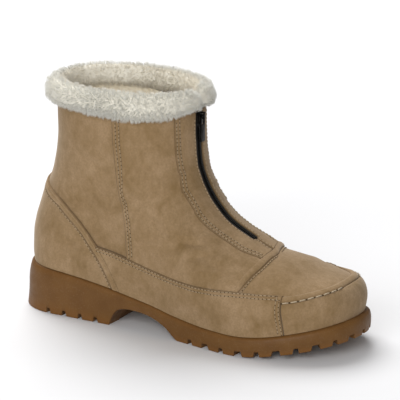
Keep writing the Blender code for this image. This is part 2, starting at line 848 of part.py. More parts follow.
def add_slider(metal):
    """The slider with its crown, and the pull that hangs from it."""
    slider_top = COLLAR_HEIGHT - SLIDER_DROP
    middle = slider_top - SLIDER_LENGTH / 2
    seat = front_place(middle) + CHAIN_PROUD + SEAM_GAP
    face = seat + SLIDER_THICK
    slider = make_object("zip_slider", *box_mesh((seat + SLIDER_THICK / 2, 0, middle),
                                                 (SLIDER_THICK, SLIDER_WIDTH, SLIDER_LENGTH)), metal)
    axis_x = face + PULL_THICK / 2 + PULL_CLEARANCE
    axis_z = slider_top - AXIS_DROP - CROWN_THICK
    crown_in = axis_x + PULL_BAR + PULL_CLEARANCE - face
    crown_top = axis_z + PULL_BAR + PULL_CLEARANCE + CROWN_THICK
    crown_low = crown_top - CROWN_LENGTH
    deep = crown_in + CROWN_THICK
    sunk = SLIDER_THICK / 2
    whole = make_object("crown", *box_mesh((face + (deep - sunk) / 2, 0, (crown_top + crown_low) / 2),
                                           (deep + sunk, CROWN_WIDTH, crown_top - crown_low)))
    hole = make_object("crown_hole", *box_mesh(
        (face + crown_in / 2, 0, (crown_top + crown_low) / 2),
        (crown_in, CROWN_WIDTH * 2, crown_top - crown_low - 2 * CROWN_THICK)))
    shape_by(slider, cutter(whole), "UNION")
    shape_by(slider, cutter(hole), "DIFFERENCE")
    sweep = math.hypot(face + deep - axis_x, axis_z - crown_low)
    add_pull(metal, axis_x, axis_z, sweep)


def add_pull(metal, axis_x, axis_z, sweep):
    """The flat pull tab, hung from the bar that it swings about, its window clear of the crown."""
    hinge = bpy.data.objects.new("pull_hinge", None)
    hinge.location = (axis_x, 0, axis_z)
    bpy.context.scene.collection.objects.link(hinge)
    tall = PULL_LENGTH + PULL_BAR
    size = (PULL_THICK, PULL_WIDTH, tall)
    plate = make_object("zip_pull", *box_mesh((0, 0, PULL_BAR - tall / 2), size), metal)
    plate.parent = hinge
    window_low = -sweep - PULL_CLEARANCE
    window_high = -PULL_BAR
    window = make_object("pull_window", *box_mesh(
        (0, 0, (window_low + window_high) / 2),
        (PULL_THICK * 3, CROWN_WIDTH + 2 * PULL_CLEARANCE + WINDOW_ROOM, window_high - window_low)))
    window.parent = hinge
    shape_by(plate, cutter(window), "DIFFERENCE")
    edges = plate.modifiers.new("soft_edges", "BEVEL")
    edges.width = PULL_THICK / 5
    edges.segments = 1


def sole_ring(margin, flare, count=72):
    """Outline round the sole, wider than the feather line by a margin."""
    ring = upper_grid((0.0, 0.02), count)[0]
    share = (ring[:, 0] + HEEL_CENTRE) / LAST_LENGTH
    toe = blend(TOE_ZONE, 1.0, share)
    back = blend(BACK_ZONE, 0.0, share)
    width = margin + toe * (TOE_MARGIN - SOLE_MARGIN) + back * (BACK_MARGIN - SOLE_MARGIN)
    width = width + flare * (SIDE_FLARE + back * BACK_FLARE)
    return ring, ring[:, :2] + ring_outward(ring) * width[:, None]


def ring_outward(ring):
    """Level outward directions round a ring."""
    along = np.roll(ring, -1, axis=0) - np.roll(ring, 1, axis=0)
    outward = np.stack([-along[:, 1], along[:, 0]], axis=-1)
    return outward / np.linalg.norm(outward, axis=-1, keepdims=True)


def loft(rings):
    """Faces between rings of equal count, closed at both ends by strips from side to side."""
    count = len(rings[0])
    faces = []
    for i in range(len(rings) - 1):
        for j in range(count):
            k = (j + 1) % count
            faces.append((i * count + j, i * count + k, (i + 1) * count + k, (i + 1) * count + j))
    for start in (0, (len(rings) - 1) * count):
        faces.append((start, start + 1, start + count - 1))
        for j in range(1, count // 2 - 1):
            faces.append((start + j, start + j + 1, start + count - j - 1, start + count - j))
        half = count // 2
        faces.append((start + half - 1, start + half, start + half + 1))
    return faces


def raised(outline, heights):
    """Points of an outline at given heights."""
    return [(x, y, z) for (x, y), z in zip(outline, heights)]


def add_outsole(rubber):
    """The moulded sole: heel block, arch, toe spring and notched tread edge."""
    ring, top = sole_ring(SOLE_MARGIN, 0.0)
    _, waist = sole_ring(SOLE_MARGIN + TOE_BULGE, WAIST_FLARE)
    _, bottom = sole_ring(SOLE_MARGIN, 1.0)
    tread = toe_lift(ring[:, 0] + HEEL_CENTRE)
    seat = ring[:, 2] - SEAM_GAP
    rings = [
        raised(bottom, tread),
        raised(waist, (1 - WAIST_HEIGHT) * tread + WAIST_HEIGHT * seat),
        raised(top, seat),
        raised(ring[:, :2], seat),
    ]
    sole = make_object("outsole", [p for points in rings for p in points], loft(rings), rubber)
    arch = [(x * LAST_LENGTH - HEEL_CENTRE, h * ARCH_HEIGHT) for x, h in zip(ARCH["x"], ARCH["height"])]
    shape_by(sole, prism("arch_cut", arch), "DIFFERENCE")
    shape_by(sole, notch_cutter(ring, bottom), "DIFFERENCE")
    return sole


def notch_cutter(ring, outline):
    """Boxes that cut the notches between the lugs, joined as one tool."""
    count = len(outline)
    share = (outline[:, 0] + HEEL_CENTRE) / LAST_LENGTH
    steps = np.hypot(*(np.roll(outline, -1, axis=0) - outline).T)
    run = np.concatenate([[0], np.cumsum(steps)])
    around = run[-1]
    half = count // 2
    outer = slice(half, 2, -1)
    inner = slice(half, count - 2)
    cuts = []
    for side in (outer, inner):
        for at in HEEL_NOTCHES:
            cuts.append((np.interp(at, share[side], run[:-1][side]), HEEL_NOTCH))
    first = np.interp(FIRST_NOTCH, share[outer], run[:-1][outer])
    pairs = int(first // LUG_PITCH)
    for k in range(-pairs, pairs + 1):
        cuts.append((k * LUG_PITCH % around, WIDE_NOTCH if k % 2 else NARROW_NOTCH))
    closed = np.vstack([outline, outline[:1]])
    outward = ring_outward(ring)
    outward = np.vstack([outward, outward[:1]])
    lift = toe_lift(np.append(ring[:, 0], ring[0, 0]) + HEEL_CENTRE)
    vertices = []
    faces = []
    for at, width in cuts:
        x, y = (np.interp(at, run, closed[:, axis]) for axis in range(2))
        turn = math.atan2(np.interp(at, run, outward[:, 1]), np.interp(at, run, outward[:, 0]))
        centre = (x, y, np.interp(at, run, lift))
        corners, sides = box_mesh(centre, (2 * LUG_REACH, width, 2 * LUG_DEPTH), turn)
        faces += [tuple(len(vertices) + i for i in side) for side in sides]
        vertices += corners
    return cutter(make_object("notch_cut", vertices, faces))


def add_insole(felt):
    """The footbed inside the upper."""
    inset = -(WALL + INSOLE_GAP)
    outline = (BASE[0] + OUTWARD[0] * inset)[:, :2]
    seat = feather(outline[:, 0] + HEEL_CENTRE)
    rings = [raised(outline, seat), raised(outline, seat + INSOLE_THICK)]
    return make_object("insole", [p for points in rings for p in points], loft(rings), felt)


def cuff_section(turn, length):
    """Points of the fur's section at a turn round the collar: distance from the wall, height."""
    wall_out = SEAM_GAP * 2 + FACING_THICK
    wall_in = WALL + SEAM_GAP
    hem = float(spline(CUFF_HEM, "drop", "turn", min(turn, 360 - turn)))
    points = []
    for out, up in zip(CUFF_OUTSIDE["out"], CUFF_OUTSIDE["up"]):
        height = up * CUFF_RISE if up > 0 else up * CUFF_DROP * hem
        if up < -0.5:
            height = height - length * min(1.0, hem * 2)
        points.append((wall_out + out * (CUFF_BULGE - wall_out), height))
    for out, up in zip(CUFF_INNER["out"], CUFF_INNER["up"]):
        height = up * CUFF_RISE if up > 0 else up * CUFF_DROP
        points.append((-wall_in - out * (CUFF_INSIDE - wall_in), height))
    points.append((-wall_in, 2 * SEAM_GAP))
    points.append((wall_out, 2 * SEAM_GAP))
    return points


def add_cuff(fur):
    """The fur collar: a roll over the upper's edge with locks at its hem, split at the zip."""
    fine = upper_grid((0.97, 1.0), 360)
    outward = grid_normals(fine)[1]
    ring = fine[1]
    vertices = []
    for k in range(CUFF_STATIONS):
        turn = CUFF_SLIT_DEG + (360 - 2 * CUFF_SLIT_DEG) * k / (CUFF_STATIONS - 1)
        index = int(round(turn)) % 360
        swing = 0.7 + 0.3 * math.sin(LOCK_TURN * k)
        lock = CUFF_LOCK * (1 if k % 2 else LOCK_BACK) * swing
        for out, up in cuff_section(turn, lock):
            puff = 1 + CUFF_PUFF * math.sin(PUFF_TURN * k) if out > FACING_THICK * 2 else 1
            place = ring[index] + outward[index] * out * puff
            vertices.append((place[0], place[1], COLLAR_HEIGHT + up))
    size = len(vertices) // CUFF_STATIONS
    faces = [tuple(range(size)), tuple(range(len(vertices) - size, len(vertices)))]
    for k in range(CUFF_STATIONS - 1):
        for j in range(size):
            m = (j + 1) % size
            faces.append((k * size + j, k * size + m, (k + 1) * size + m, (k + 1) * size + j))
    return make_object("fur_cuff", vertices, faces, fur)


def main():
    for old in list(bpy.data.objects):
        bpy.data.objects.remove(old, do_unlink=True)
    suede = material("tan_suede", (0.305, 0.215, 0.125), 0.9)
    trim = material("tan_suede_trim", (0.33, 0.235, 0.14), 0.85)
    fur = material("cream_fur", (0.62, 0.60, 0.53), 0.95)
    rubber = material("gum_rubber", (0.165, 0.085, 0.035), 0.55)
    felt = material("beige_felt", (0.55, 0.47, 0.35), 0.95)
    black = material("black_tape", (0.012, 0.011, 0.010), 0.6)
    metal = material("dark_metal", (0.035, 0.034, 0.033), 0.35, 0.9)
    add_outsole(rubber)
    add_insole(felt)
    upper = add_upper(suede)
    facing = add_panels(suede, trim)
    add_zip(upper, facing, black, metal)
    add_cuff(fur)


main()
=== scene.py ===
"""The looks of a tan suede ankle boot with a fur collar, a front zip and a gum rubber sole.

Metres, +Z up, toe to +X, outer side of the foot to -Y, origin under the middle of the heel.
Sizes, tables and colours come first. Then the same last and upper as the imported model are
worked out, as one smooth surface that is read at a turn round the boot and a level up it.
The rest cuts the panels, seams, zip, sole and fur to that surface.
"""
import math

import bmesh
import bpy
import numpy as np
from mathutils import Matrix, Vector
from mathutils.kdtree import KDTree


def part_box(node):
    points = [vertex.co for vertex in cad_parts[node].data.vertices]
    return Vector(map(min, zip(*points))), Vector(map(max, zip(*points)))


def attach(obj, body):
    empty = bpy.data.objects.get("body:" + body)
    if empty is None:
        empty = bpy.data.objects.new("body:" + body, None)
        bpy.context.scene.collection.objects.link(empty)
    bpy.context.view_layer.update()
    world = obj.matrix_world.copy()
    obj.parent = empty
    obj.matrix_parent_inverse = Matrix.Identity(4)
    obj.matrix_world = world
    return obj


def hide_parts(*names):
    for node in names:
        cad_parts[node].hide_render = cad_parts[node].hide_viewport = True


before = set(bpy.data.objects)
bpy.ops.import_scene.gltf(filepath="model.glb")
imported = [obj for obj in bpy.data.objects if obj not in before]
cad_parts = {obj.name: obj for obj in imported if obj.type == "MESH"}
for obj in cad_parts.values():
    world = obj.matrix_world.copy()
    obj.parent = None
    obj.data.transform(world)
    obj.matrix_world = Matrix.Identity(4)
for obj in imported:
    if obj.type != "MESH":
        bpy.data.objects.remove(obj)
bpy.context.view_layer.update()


# Driving sizes of the last
LAST_LENGTH = 0.285
BALL_WIDTH = 0.100
HEEL_SEAT = 0.036
BALL_SEAT = 0.015
TOE_SPRING = 0.0165
COLLAR_HEIGHT = 0.172
SHAFT_RISE = COLLAR_HEIGHT - BALL_SEAT
HEEL_CENTRE = 0.038
TOE_DEPTH = 0.070
TOE_SWING = 0.005

# How round the last is: powers of its rounded outline and sides, and the foot's swell above the sole
OUTLINE_POWER = 4
SIDE_POWER = 2.2
FOOT_SWELL = 0.03
SWELL_RISE = 0.12

# Shares of the shaft's rise over which the foot's width turns into the shaft's
FOOT_ENDS = 0.20
SHAFT_STARTS = 0.62

# Shares of the last from which the toe swings in, the toe's sole swells and the heel's sole narrows
SWING_STARTS = 0.66
TOE_ZONE = 0.80
BACK_ZONE = 0.16

# Rings of the surface run on past the outline, and leave the back level, by these shares of the last
RING_OVERRUN = 0.042
BACK_REACH = 0.3
FLAT_LEVELS = 0.34

# Thicknesses and clearances
WALL = 0.0025
SEAM_GAP = 0.0003
QUARTER_THICK = 0.0012
FACING_THICK = 0.0018
FOXING_THICK = 0.0020
COUNTER_THICK = 0.0012
STRIP_THICK = 0.0021
BAND_THICK = 0.0020
TOE_CAP_THICK = 0.0016
TOE_RIM_THICK = 0.0022

# Panels: depth and width of the groove at a row of stitches, and how far their rims reach under the skin
ROW_DEPTH = 0.22
ROW_WIDTH = 0.0006
RIM_UNDER = 0.0002
PIPING_WIDTH = 0.0021
COLLAR_LEVEL = 0.997

# Mesh of the bare upper and of the lining: turns round the boot and rows up it
BARE_TURNS = 216
BARE_ROWS = 120
LINING_TURNS = 200
LINING_ROWS = 90

# How much further back the vamp band runs on the inner side, for each unit away from the middle
BAND_SKEW = 0.35

# Sole
SOLE_MARGIN = 0.0030
TOE_MARGIN = 0.0050
TOE_BULGE = 0.0012
BACK_MARGIN = 0.0030
BACK_FLARE = 0.0036
SIDE_FLARE = 0.0010
WAIST_HEIGHT = 0.55
WAIST_FLARE = 0.4
ARCH_HEIGHT = 0.0156
LUG_DEPTH = 0.0040
LUG_PITCH = 0.0148
WIDE_NOTCH = 0.0062
NARROW_NOTCH = 0.0040
HEEL_NOTCH = 0.0036
SOLE_STEP = 0.0022
OUTLINE_TURNS = 1440

# Points of the sole beside each side of a notch, and the width over which its side slopes
NOTCH_SLIPS = (-0.0006, -0.0004, 0.0004, 0.0006)
NOTCH_EDGE = 0.0009

# Rows of the sole's rounded top edge: how far in and how far down. Then shares of the way down its wall
SOLE_TOP_EDGE = ((0.0045, 0.0), (0.0022, 0.0001), (0.0012, 0.0002), (0.0005, 0.0007), (0.0, 0.0016))
SOLE_WALL_ROWS = (0.12, 0.26, 0.40, 0.54, 0.68, 0.80, 0.90, 0.96)

# Rows under the lugs and under the arch: how far in
LUG_ROWS = (0.0006, 0.0020, 0.0045, 0.0080, 0.0116)
ARCH_ROWS = (0.0120, 0.0150)

# How far the rubber turns amber with painted light shining through it: at its top edge and under the arch,
# on the lugs' walls, at their lower edge
LIT_THROUGH_TOP = 0.10
LIT_THROUGH_LUG = 0.25
LIT_THROUGH_EDGE = (0.30, 0.34)

# Underside between the lugs: its ends as shares of the last, its mesh, its inset and its bars
TREAD_ENDS = (0.035, 0.965)
TREAD_STATIONS = 260
TREAD_ACROSS = 40
TREAD_INSET = 0.009
TREAD_LEAST = 0.004
BAR_LEAN = 0.10
BAR_DEPTH = 0.6

# Footbed
INSOLE_THICK = 0.0030
INSOLE_GAP = 0.0006

# Fur cuff: its section, and the roll and hairs that follow it
CUFF_RISE = 0.0128
CUFF_DROP = 0.0085
CUFF_BULGE = 0.0085
CUFF_INSIDE = 0.0080
CUFF_SLIT_DEG = 1.5
FUR_BODY = 0.83
FUR_PUFF = 0.045
FUR_AROUND = 0.055

# The fur's ends at the zip: the hem's height there, the turn up to which it rises, rounded stations
HEM_LIFT = 0.40
HEM_TURN = 40
END_STATIONS = 6

# Locks and strands: numbers, thickness, lengths, how far they stray and how they lie
FUR_LOCKS = 2600
FUR_STRANDS = 11000
FUR_PIECES = 4
FUR_THICK = 0.00024
FUR_DENSER = 0.32
LOCK_LENGTHS = (0.0028, 0.0042)
LOCK_STRAY = 0.19
STRAND_STRAY = 0.13
STRAND_CURL = 0.00016
LOCK_HOLD = 0.28
INSIDE_SHORTER = 0.45

# Beside the zip: how far back strands are shorter, how wide the slit's sides are, how far strands lean in
END_REACH = 0.014
SLIT_REACH = 0.006
SLIT_LEAN = 1.1

# Zip
ZIP_SLOT = 0.0078
CHAIN_WIDTH = 0.0052
SLIDER_WIDTH = 0.0070
SLIDER_LENGTH = 0.0095
SLIDER_THICK = 0.0024
SLIDER_DROP = 0.0055
CROWN_WIDTH = 0.0022
CROWN_LENGTH = 0.0052
CROWN_THICK = 0.0009
PULL_LENGTH = 0.0200
PULL_WIDTH = 0.0058
PULL_THICK = 0.0012
PULL_BAR = 0.00065
PULL_CLEARANCE = 0.0004
WINDOW_ROOM = 0.0002
CHAIN_DROP = 0.0017
TOOTH_PITCH = 0.0013
SLOT_ROUND = 0.0014


def table(names, *rows):
    """Rows of numbers as named columns."""
    return {name: np.array(column) for name, column in zip(names.split(), zip(*rows))}


# Half widths as shares of the ball width, and lifts as shares of the heel's and toe's rise
PLAN = table(
    "x outer inner heel toe",
    (0.00, 0.335, 0.335, 1.00, 0.00),
    (0.105, 0.335, 0.330, 0.95, 0.00),
    (0.21, 0.340, 0.325, 0.82, 0.00),
    (0.315, 0.345, 0.315, 0.61, 0.00),
    (0.42, 0.360, 0.315, 0.37, 0.00),
    (0.525, 0.405, 0.345, 0.13, 0.00),
    (0.62, 0.455, 0.400, 0.02, 0.00),
    (0.70, 0.485, 0.450, 0.00, 0.00),
    (0.76, 0.490, 0.475, 0.00, 0.08),
    (0.83, 0.490, 0.480, 0.00, 0.28),
    (0.90, 0.490, 0.480, 0.00, 0.54),
    (0.96, 0.490, 0.480, 0.00, 0.81),
    (1.00, 0.490, 0.480, 0.00, 1.00),
)

# The line over toe, vamp and shin: x as a share of the last, rise as a share of the shaft
TOP_LINE = table(
    "x rise round",
    (1.000, 0.160, 0.15),
    (0.940, 0.190, 0.18),
    (0.877, 0.220, 0.24),
    (0.790, 0.290, 0.33),
    (0.716, 0.334, 0.38),
    (0.674, 0.372, 0.40),
    (0.625, 0.413, 0.42),
    (0.586, 0.455, 0.43),
    (0.551, 0.515, 0.45),
    (0.529, 0.572, 0.48),
    (0.512, 0.630, 0.52),
    (0.502, 0.690, 0.55),
    (0.497, 0.780, 0.57),
    (0.495, 0.880, 0.58),
    (0.495, 1.120, 0.58),
)

# The line down the back: height as a share from the heel seat to the collar
BACK_LINE = table(
    "height x round",
    (-0.10, 0.025, 0.36),
    (0.00, 0.017, 0.36),
    (0.07, 0.0135, 0.37),
    (0.16, 0.0150, 0.38),
    (0.25, 0.0235, 0.40),
    (0.33, 0.0365, 0.42),
    (0.45, 0.0570, 0.46),
    (0.57, 0.0770, 0.50),
    (0.68, 0.0865, 0.54),
    (0.80, 0.0895, 0.56),
    (0.90, 0.0895, 0.57),
    (1.05, 0.0895, 0.58),
)

TOE_WALL = table(
    "rise x",
    (-0.10, 0.955),
    (0.00, 0.962),
    (0.06, 0.966),
    (0.12, 0.957),
    (0.17, 0.938),
    (0.25, 0.908),
)

SHAFT = table(
    "rise half",
    (0.00, 0.345),
    (0.30, 0.350),
    (0.50, 0.370),
    (0.75, 0.400),
    (1.10, 0.410),
)

# How each ring of the surface runs: where its front lies, how it leaves the front, where its back lies
RINGS = table(
    "level front rise lean reach back",
    (0.00, 0.964, 0.000, 180, 0.30, 0.000),
    (0.08, 0.967, 0.055, 180, 0.30, 0.060),
    (0.16, 0.964, 0.110, 185, 0.26, 0.130),
    (0.22, 0.956, 0.151, 196, 0.20, 0.185),
    (0.27, 0.943, 0.181, 218, 0.13, 0.230),
    (0.33, 0.905, 0.208, 244, 0.10, 0.285),
    (0.41, 0.834, 0.266, 250, 0.10, 0.355),
    (0.50, 0.730, 0.335, 250, 0.10, 0.440),
    (0.59, 0.640, 0.402, 238, 0.13, 0.530),
    (0.68, 0.565, 0.490, 220, 0.17, 0.630),
    (0.78, 0.518, 0.620, 198, 0.25, 0.750),
    (0.89, 0.500, 0.790, 184, 0.30, 0.875),
    (1.00, 0.498, 0.9455, 180, 0.30, 1.000),
)

# Seam lines as seen from the side: x as a share of the last, rise above the feather line
PLACKET_EDGE = table(
    "x rise",
    (0.469, 1.100),
    (0.469, 0.902),
    (0.472, 0.754),
    (0.479, 0.671),
    (0.495, 0.575),
    (0.516, 0.526),
    (0.536, 0.477),
    (0.563, 0.438),
    (0.595, 0.405),
    (0.629, 0.378),
    (0.662, 0.355),
    (0.740, 0.305),
)
SIDE_SEAM = table(
    "x rise",
    (0.322, 1.100),
    (0.323, 0.762),
    (0.329, 0.660),
    (0.336, 0.520),
    (0.349, 0.371),
    (0.356, 0.186),
    (0.358, 0.100),
)
STRIP_TOP = table(
    "x rise",
    (-0.050, 0.500),
    (0.060, 0.430),
    (0.144, 0.379),
    (0.209, 0.293),
    (0.264, 0.190),
    (0.297, 0.120),
    (0.342, -0.030),
)
STRIP_LOW = table(
    "x rise",
    (-0.050, 0.458),
    (0.060, 0.392),
    (0.134, 0.345),
    (0.196, 0.267),
    (0.243, 0.176),
    (0.274, 0.110),
    (0.317, -0.030),
)
FOXING_TOP = table(
    "x rise",
    (0.200, 0.190),
    (0.309, 0.193),
    (0.426, 0.183),
    (0.564, 0.190),
    (0.690, 0.206),
    (0.779, 0.196),
    (0.840, 0.176),
)
TOE_CAP_SEAM = table(
    "x rise",
    (0.826, 0.350),
    (0.829, 0.160),
    (0.838, -0.030),
)
MOC_SEAM = table(
    "x rise",
    (0.780, 0.156),
    (0.873, 0.147),
    (0.927, 0.146),
    (1.050, 0.152),
)
CREASE = table(
    "x rise",
    (0.780, 0.186),
    (0.877, 0.172),
    (0.918, 0.169),
    (0.938, 0.174),
    (0.952, 0.187),
    (0.990, 0.230),
)
BAND_BACK = table(
    "x rise",
    (0.672, 0.150),
    (0.690, 0.206),
    (0.708, 0.267),
    (0.721, 0.315),
    (0.723, 0.334),
    (0.722, 0.360),
    (0.718, 0.450),
)
BAND_FRONT = table(
    "x rise",
    (0.692, 0.150),
    (0.710, 0.206),
    (0.728, 0.267),
    (0.740, 0.304),
    (0.740, 0.326),
    (0.737, 0.360),
    (0.732, 0.450),
)
# The zip's lower end: x as a share of the last, and in metres
ZIP_END = 0.672
ZIP_END_X = ZIP_END * LAST_LENGTH - HEEL_CENTRE

# The arch cut under the sole, height as a share of the arch
ARCH = table(
    "x height",
    (0.298, -0.20),
    (0.302, 0.00),
    (0.327, 0.80),
    (0.345, 0.95),
    (0.370, 1.00),
    (0.401, 0.98),
    (0.431, 0.90),
    (0.462, 0.74),
    (0.490, 0.50),
    (0.512, 0.18),
    (0.522, 0.00),
    (0.528, -0.20),
)
HEEL_NOTCHES = (0.110, 0.160, 0.211, 0.260)
FIRST_NOTCH = 0.563

# The fur's section: out as a share from the wall to the bulge, up as a share of the rise or drop
CUFF_OUTSIDE = table(
    "out up",
    (0.00, -0.90),
    (0.45, -1.10),
    (0.85, -0.70),
    (1.00, -0.05),
    (0.90, 0.45),
    (0.55, 0.85),
)
CUFF_INNER = table(
    "out up",
    (0.15, 1.00),
    (0.60, 0.85),
    (0.95, 0.40),
    (1.00, -0.10),
    (0.60, -0.50),
    (0.00, -0.45),
)
# How far the fur hangs below the collar round the boot, from the zip (0) to the back (180)
CUFF_HEM = table(
    "turn drop",
    (0, 0.05),
    (10, 0.20),
    (20, 0.60),
    (30, 0.82),
    (60, 0.82),
    (80, 0.66),
    (120, 0.55),
    (180, 0.42),
)

# Creases, listed in side view: middle, direction in degrees, and length, width and depth in millimetres
CREASES = table(
    "x rise angle length width depth",
    (0.545, 0.362, -6, 22, 2.2, 1.25),
    (0.500, 0.330, 24, 24, 3.0, 1.27),
    (0.455, 0.400, -30, 28, 3.6, 1.42),
    (0.590, 0.322, 16, 20, 2.4, 1.27),
    (0.625, 0.290, -22, 22, 2.4, 1.20),
    (0.660, 0.262, 28, 16, 2.2, 0.98),
    (0.400, 0.500, 22, 30, 4.2, 1.27),
    (0.430, 0.640, -14, 26, 4.0, 0.90),
    (0.300, 0.450, 35, 28, 4.0, 1.12),
    (0.250, 0.610, -22, 26, 4.0, 0.83),
    (0.780, 0.222, 12, 20, 2.6, 0.75),
    (0.520, 0.470, 62, 13, 1.8, 0.83),
    (0.502, 0.560, 52, 12, 1.8, 0.75),
    (0.490, 0.660, 44, 12, 1.8, 0.75),
    (0.590, 0.215, 6, 26, 3.0, 0.83),
    (0.190, 0.240, -32, 26, 4.0, 0.83),
    (0.130, 0.330, 20, 20, 3.5, 0.68),
)
CREASE_SLIP = 0.022
SOFT_DEPTH = 0.00022

# The surface is worked out once on this many turns and levels, and read smoothly in between
TURNS = 360
LEVELS = 201
SURFACE_CHUNKS = 14

# Spacing of the mesh on the panels: close at their edges, even in the middle
EDGE_ROWS = (0.0, 0.00012, 0.0003, 0.0006, 0.0010, 0.0015, 0.0021, 0.0028, 0.0036, 0.0046)
PANEL_STEP = 0.0020

# Stitching: gaps are distances from a seam, and rows lie to the left of its line where they are positive
STITCH_PITCH = 0.0030
STITCH_LENGTH = 0.0020
STITCH_THICK = 0.00055
STITCH_RISE = 0.00022
FIRST_ROW = 0.0015
SECOND_ROW = 0.0040
SIDE_FIRST_ROW = 0.0028
SIDE_SECOND_ROW = 0.0052
SIDE_ROWS = (-SIDE_FIRST_ROW, -SIDE_SECOND_ROW)
FOXING_ROWS = (-0.0012, -0.0034)
PLACKET_ROWS = (-0.0017, -0.0041)
CAP_ROWS = (0.0015, 0.0040)
APRON_ROWS = (-0.0016,)
SLOT_ROWS = (0.0019,)
STRIP_ROWS = (0.0014,)
HOLE_WIDTH = 0.00092
HOLE_LIFT = 0.00006

# Hand stitches at the toe
HAND_PITCH = 0.0062
HAND_LENGTH = 0.0046
HAND_THICK = 0.0009
HAND_RISE = 0.0007
HAND_COUNT = 10
INNER_HAND_COUNT = 6

# Camera, floor and lights. Each light: name, place, what it faces, size and power
CAMERA_AZIMUTH = 30
CAMERA_ELEVATION = 17
CAMERA_DISTANCE = 2.5
CAMERA_LENS = 300.15
CAMERA_TARGET = (0.1057, 0, 0.085)
CAMERA_LIFT = 0.012
FLOOR_SIZE = 30
SURROUND = 0.27
LIGHTS = (
    ("top_light", (-0.75, 0.70, 1.9), (0.1, 0, 0.05), (1.4, 1.4), 50),
    ("front_fill", (0.6, -2.0, 1.0), (0.1, 0, 0.08), (1.6, 1.2), 33),
)

# Colours
SUEDE_LIGHT = (0.350, 0.238, 0.136)
SUEDE_DARK = (0.218, 0.137, 0.060)
# Dark colour at the panels' edges: partly edge wear, partly painted shade of the seams
SUEDE_EDGE_WEAR_AND_SHADE = (0.11, 0.068, 0.033)
SUEDE_SHEEN = (0.95, 0.86, 0.74, 1.0)
TAN_THREAD = ((0.44, 0.34, 0.22), (0.30, 0.22, 0.13))
CREAM_THREAD = ((0.50, 0.41, 0.29), (0.33, 0.25, 0.16))
FLEECE_TONES = ((0.90, 0.83, 0.68), (0.74, 0.66, 0.51))
RUBBER_BODY = ((0.124, 0.056, 0.015), (0.150, 0.071, 0.020))
# Amber of painted light shining through thin rubber
RUBBER_LIT_THROUGH = (0.26, 0.108, 0.024)
RUBBER_DUST = (0.30, 0.22, 0.14)
FUR_TONES = ((0.70, 0.685, 0.61), (0.735, 0.73, 0.68))
# Lighter warm fur tone: random from lock to lock, and inside the collar partly beige fur, partly painted
# light
FUR_WARMTH_AND_LIGHT = (0.84, 0.77, 0.64)
TAPE_TONES = ((0.008, 0.0075, 0.007), (0.020, 0.018, 0.017))
METAL_TONES = ((0.006, 0.0055, 0.005), (0.020, 0.018, 0.016))
# Painted shade inside the needle holes
HOLE_SHADE_TONES = ((0.055, 0.036, 0.020), (0.100, 0.066, 0.038))
FLOOR_TONES = ((0.77, 0.77, 0.78), (0.79, 0.79, 0.80))


def spline(rows, name, key, at):
    """Monotone cubic through a table's column, straight on past both ends."""
    xs = np.asarray(rows[key], float)
    ys = np.asarray(rows[name], float)
    at = np.asarray(at, float)
    if xs[0] > xs[-1]:
        xs = xs[::-1]
        ys = ys[::-1]
    step = np.diff(xs)
    slope = np.diff(ys) / step
    tangent = np.concatenate([slope[:1], np.zeros(len(xs) - 2), slope[-1:]])
    same_way = slope[:-1] * slope[1:] > 0
    first = 2 * step[1:] + step[:-1]
    second = step[1:] + 2 * step[:-1]
    safe = np.where(same_way, slope[:-1] * slope[1:], 1.0)
    mean = (first + second) * safe / np.where(same_way, first * slope[1:] + second * slope[:-1], 1.0)
    tangent[1:-1] = np.where(same_way, mean, 0.0)
    i = np.clip(np.searchsorted(xs, at) - 1, 0, len(step) - 1)
    t = (at - xs[i]) / step[i]
    s = np.clip(t, 0.0, 1.0)
    value = (1 + 2 * s) * (1 - s) ** 2 * ys[i] + s * s * (3 - 2 * s) * ys[i + 1]
    value = value + step[i] * (s * (1 - s) ** 2 * tangent[i] + s * s * (s - 1) * tangent[i + 1])
    return value + (t - s) * step[i] * np.where(t < 0, tangent[i], tangent[i + 1])


def blend(start, end, value):
    """0 at start and 1 at end, with a soft step between."""
    t = np.clip((value - start) / (end - start), 0, 1)
    return t * t * (3 - 2 * t)


def unit(ways):
    """Directions of length one."""
    return ways / np.linalg.norm(ways, axis=-1, keepdims=True)


def running(places):
    """Distances along a line of places."""
    return np.concatenate([[0], np.cumsum(np.linalg.norm(np.diff(places, axis=0), axis=-1))])


def feather(x):
    """Height of the line where upper and sole meet."""
    share = np.asarray(x) / LAST_LENGTH
    heel = np.clip(spline(PLAN, "heel", "x", share), 0, 1.2)
    return BALL_SEAT + heel * (HEEL_SEAT - BALL_SEAT) + toe_lift(x)


def toe_lift(x):
    """How far the toe stands off the floor."""
    share = np.asarray(x) / LAST_LENGTH
    return TOE_SPRING * np.clip(spline(PLAN, "toe", "x", share), 0, 1.3)


def top_line(count=260):
    """Points of the line over toe, vamp and shin, and the depth of the rounding beside it."""
    rows = dict(TOP_LINE)
    rows["key"] = np.linspace(0, 1, len(TOP_LINE["x"]))
    t = np.linspace(0, 1, count)
    x = spline(rows, "x", "key", t) * LAST_LENGTH
    z = feather(x) + spline(rows, "rise", "key", t) * SHAFT_RISE
    return x, z, spline(rows, "round", "key", t) * BALL_WIDTH


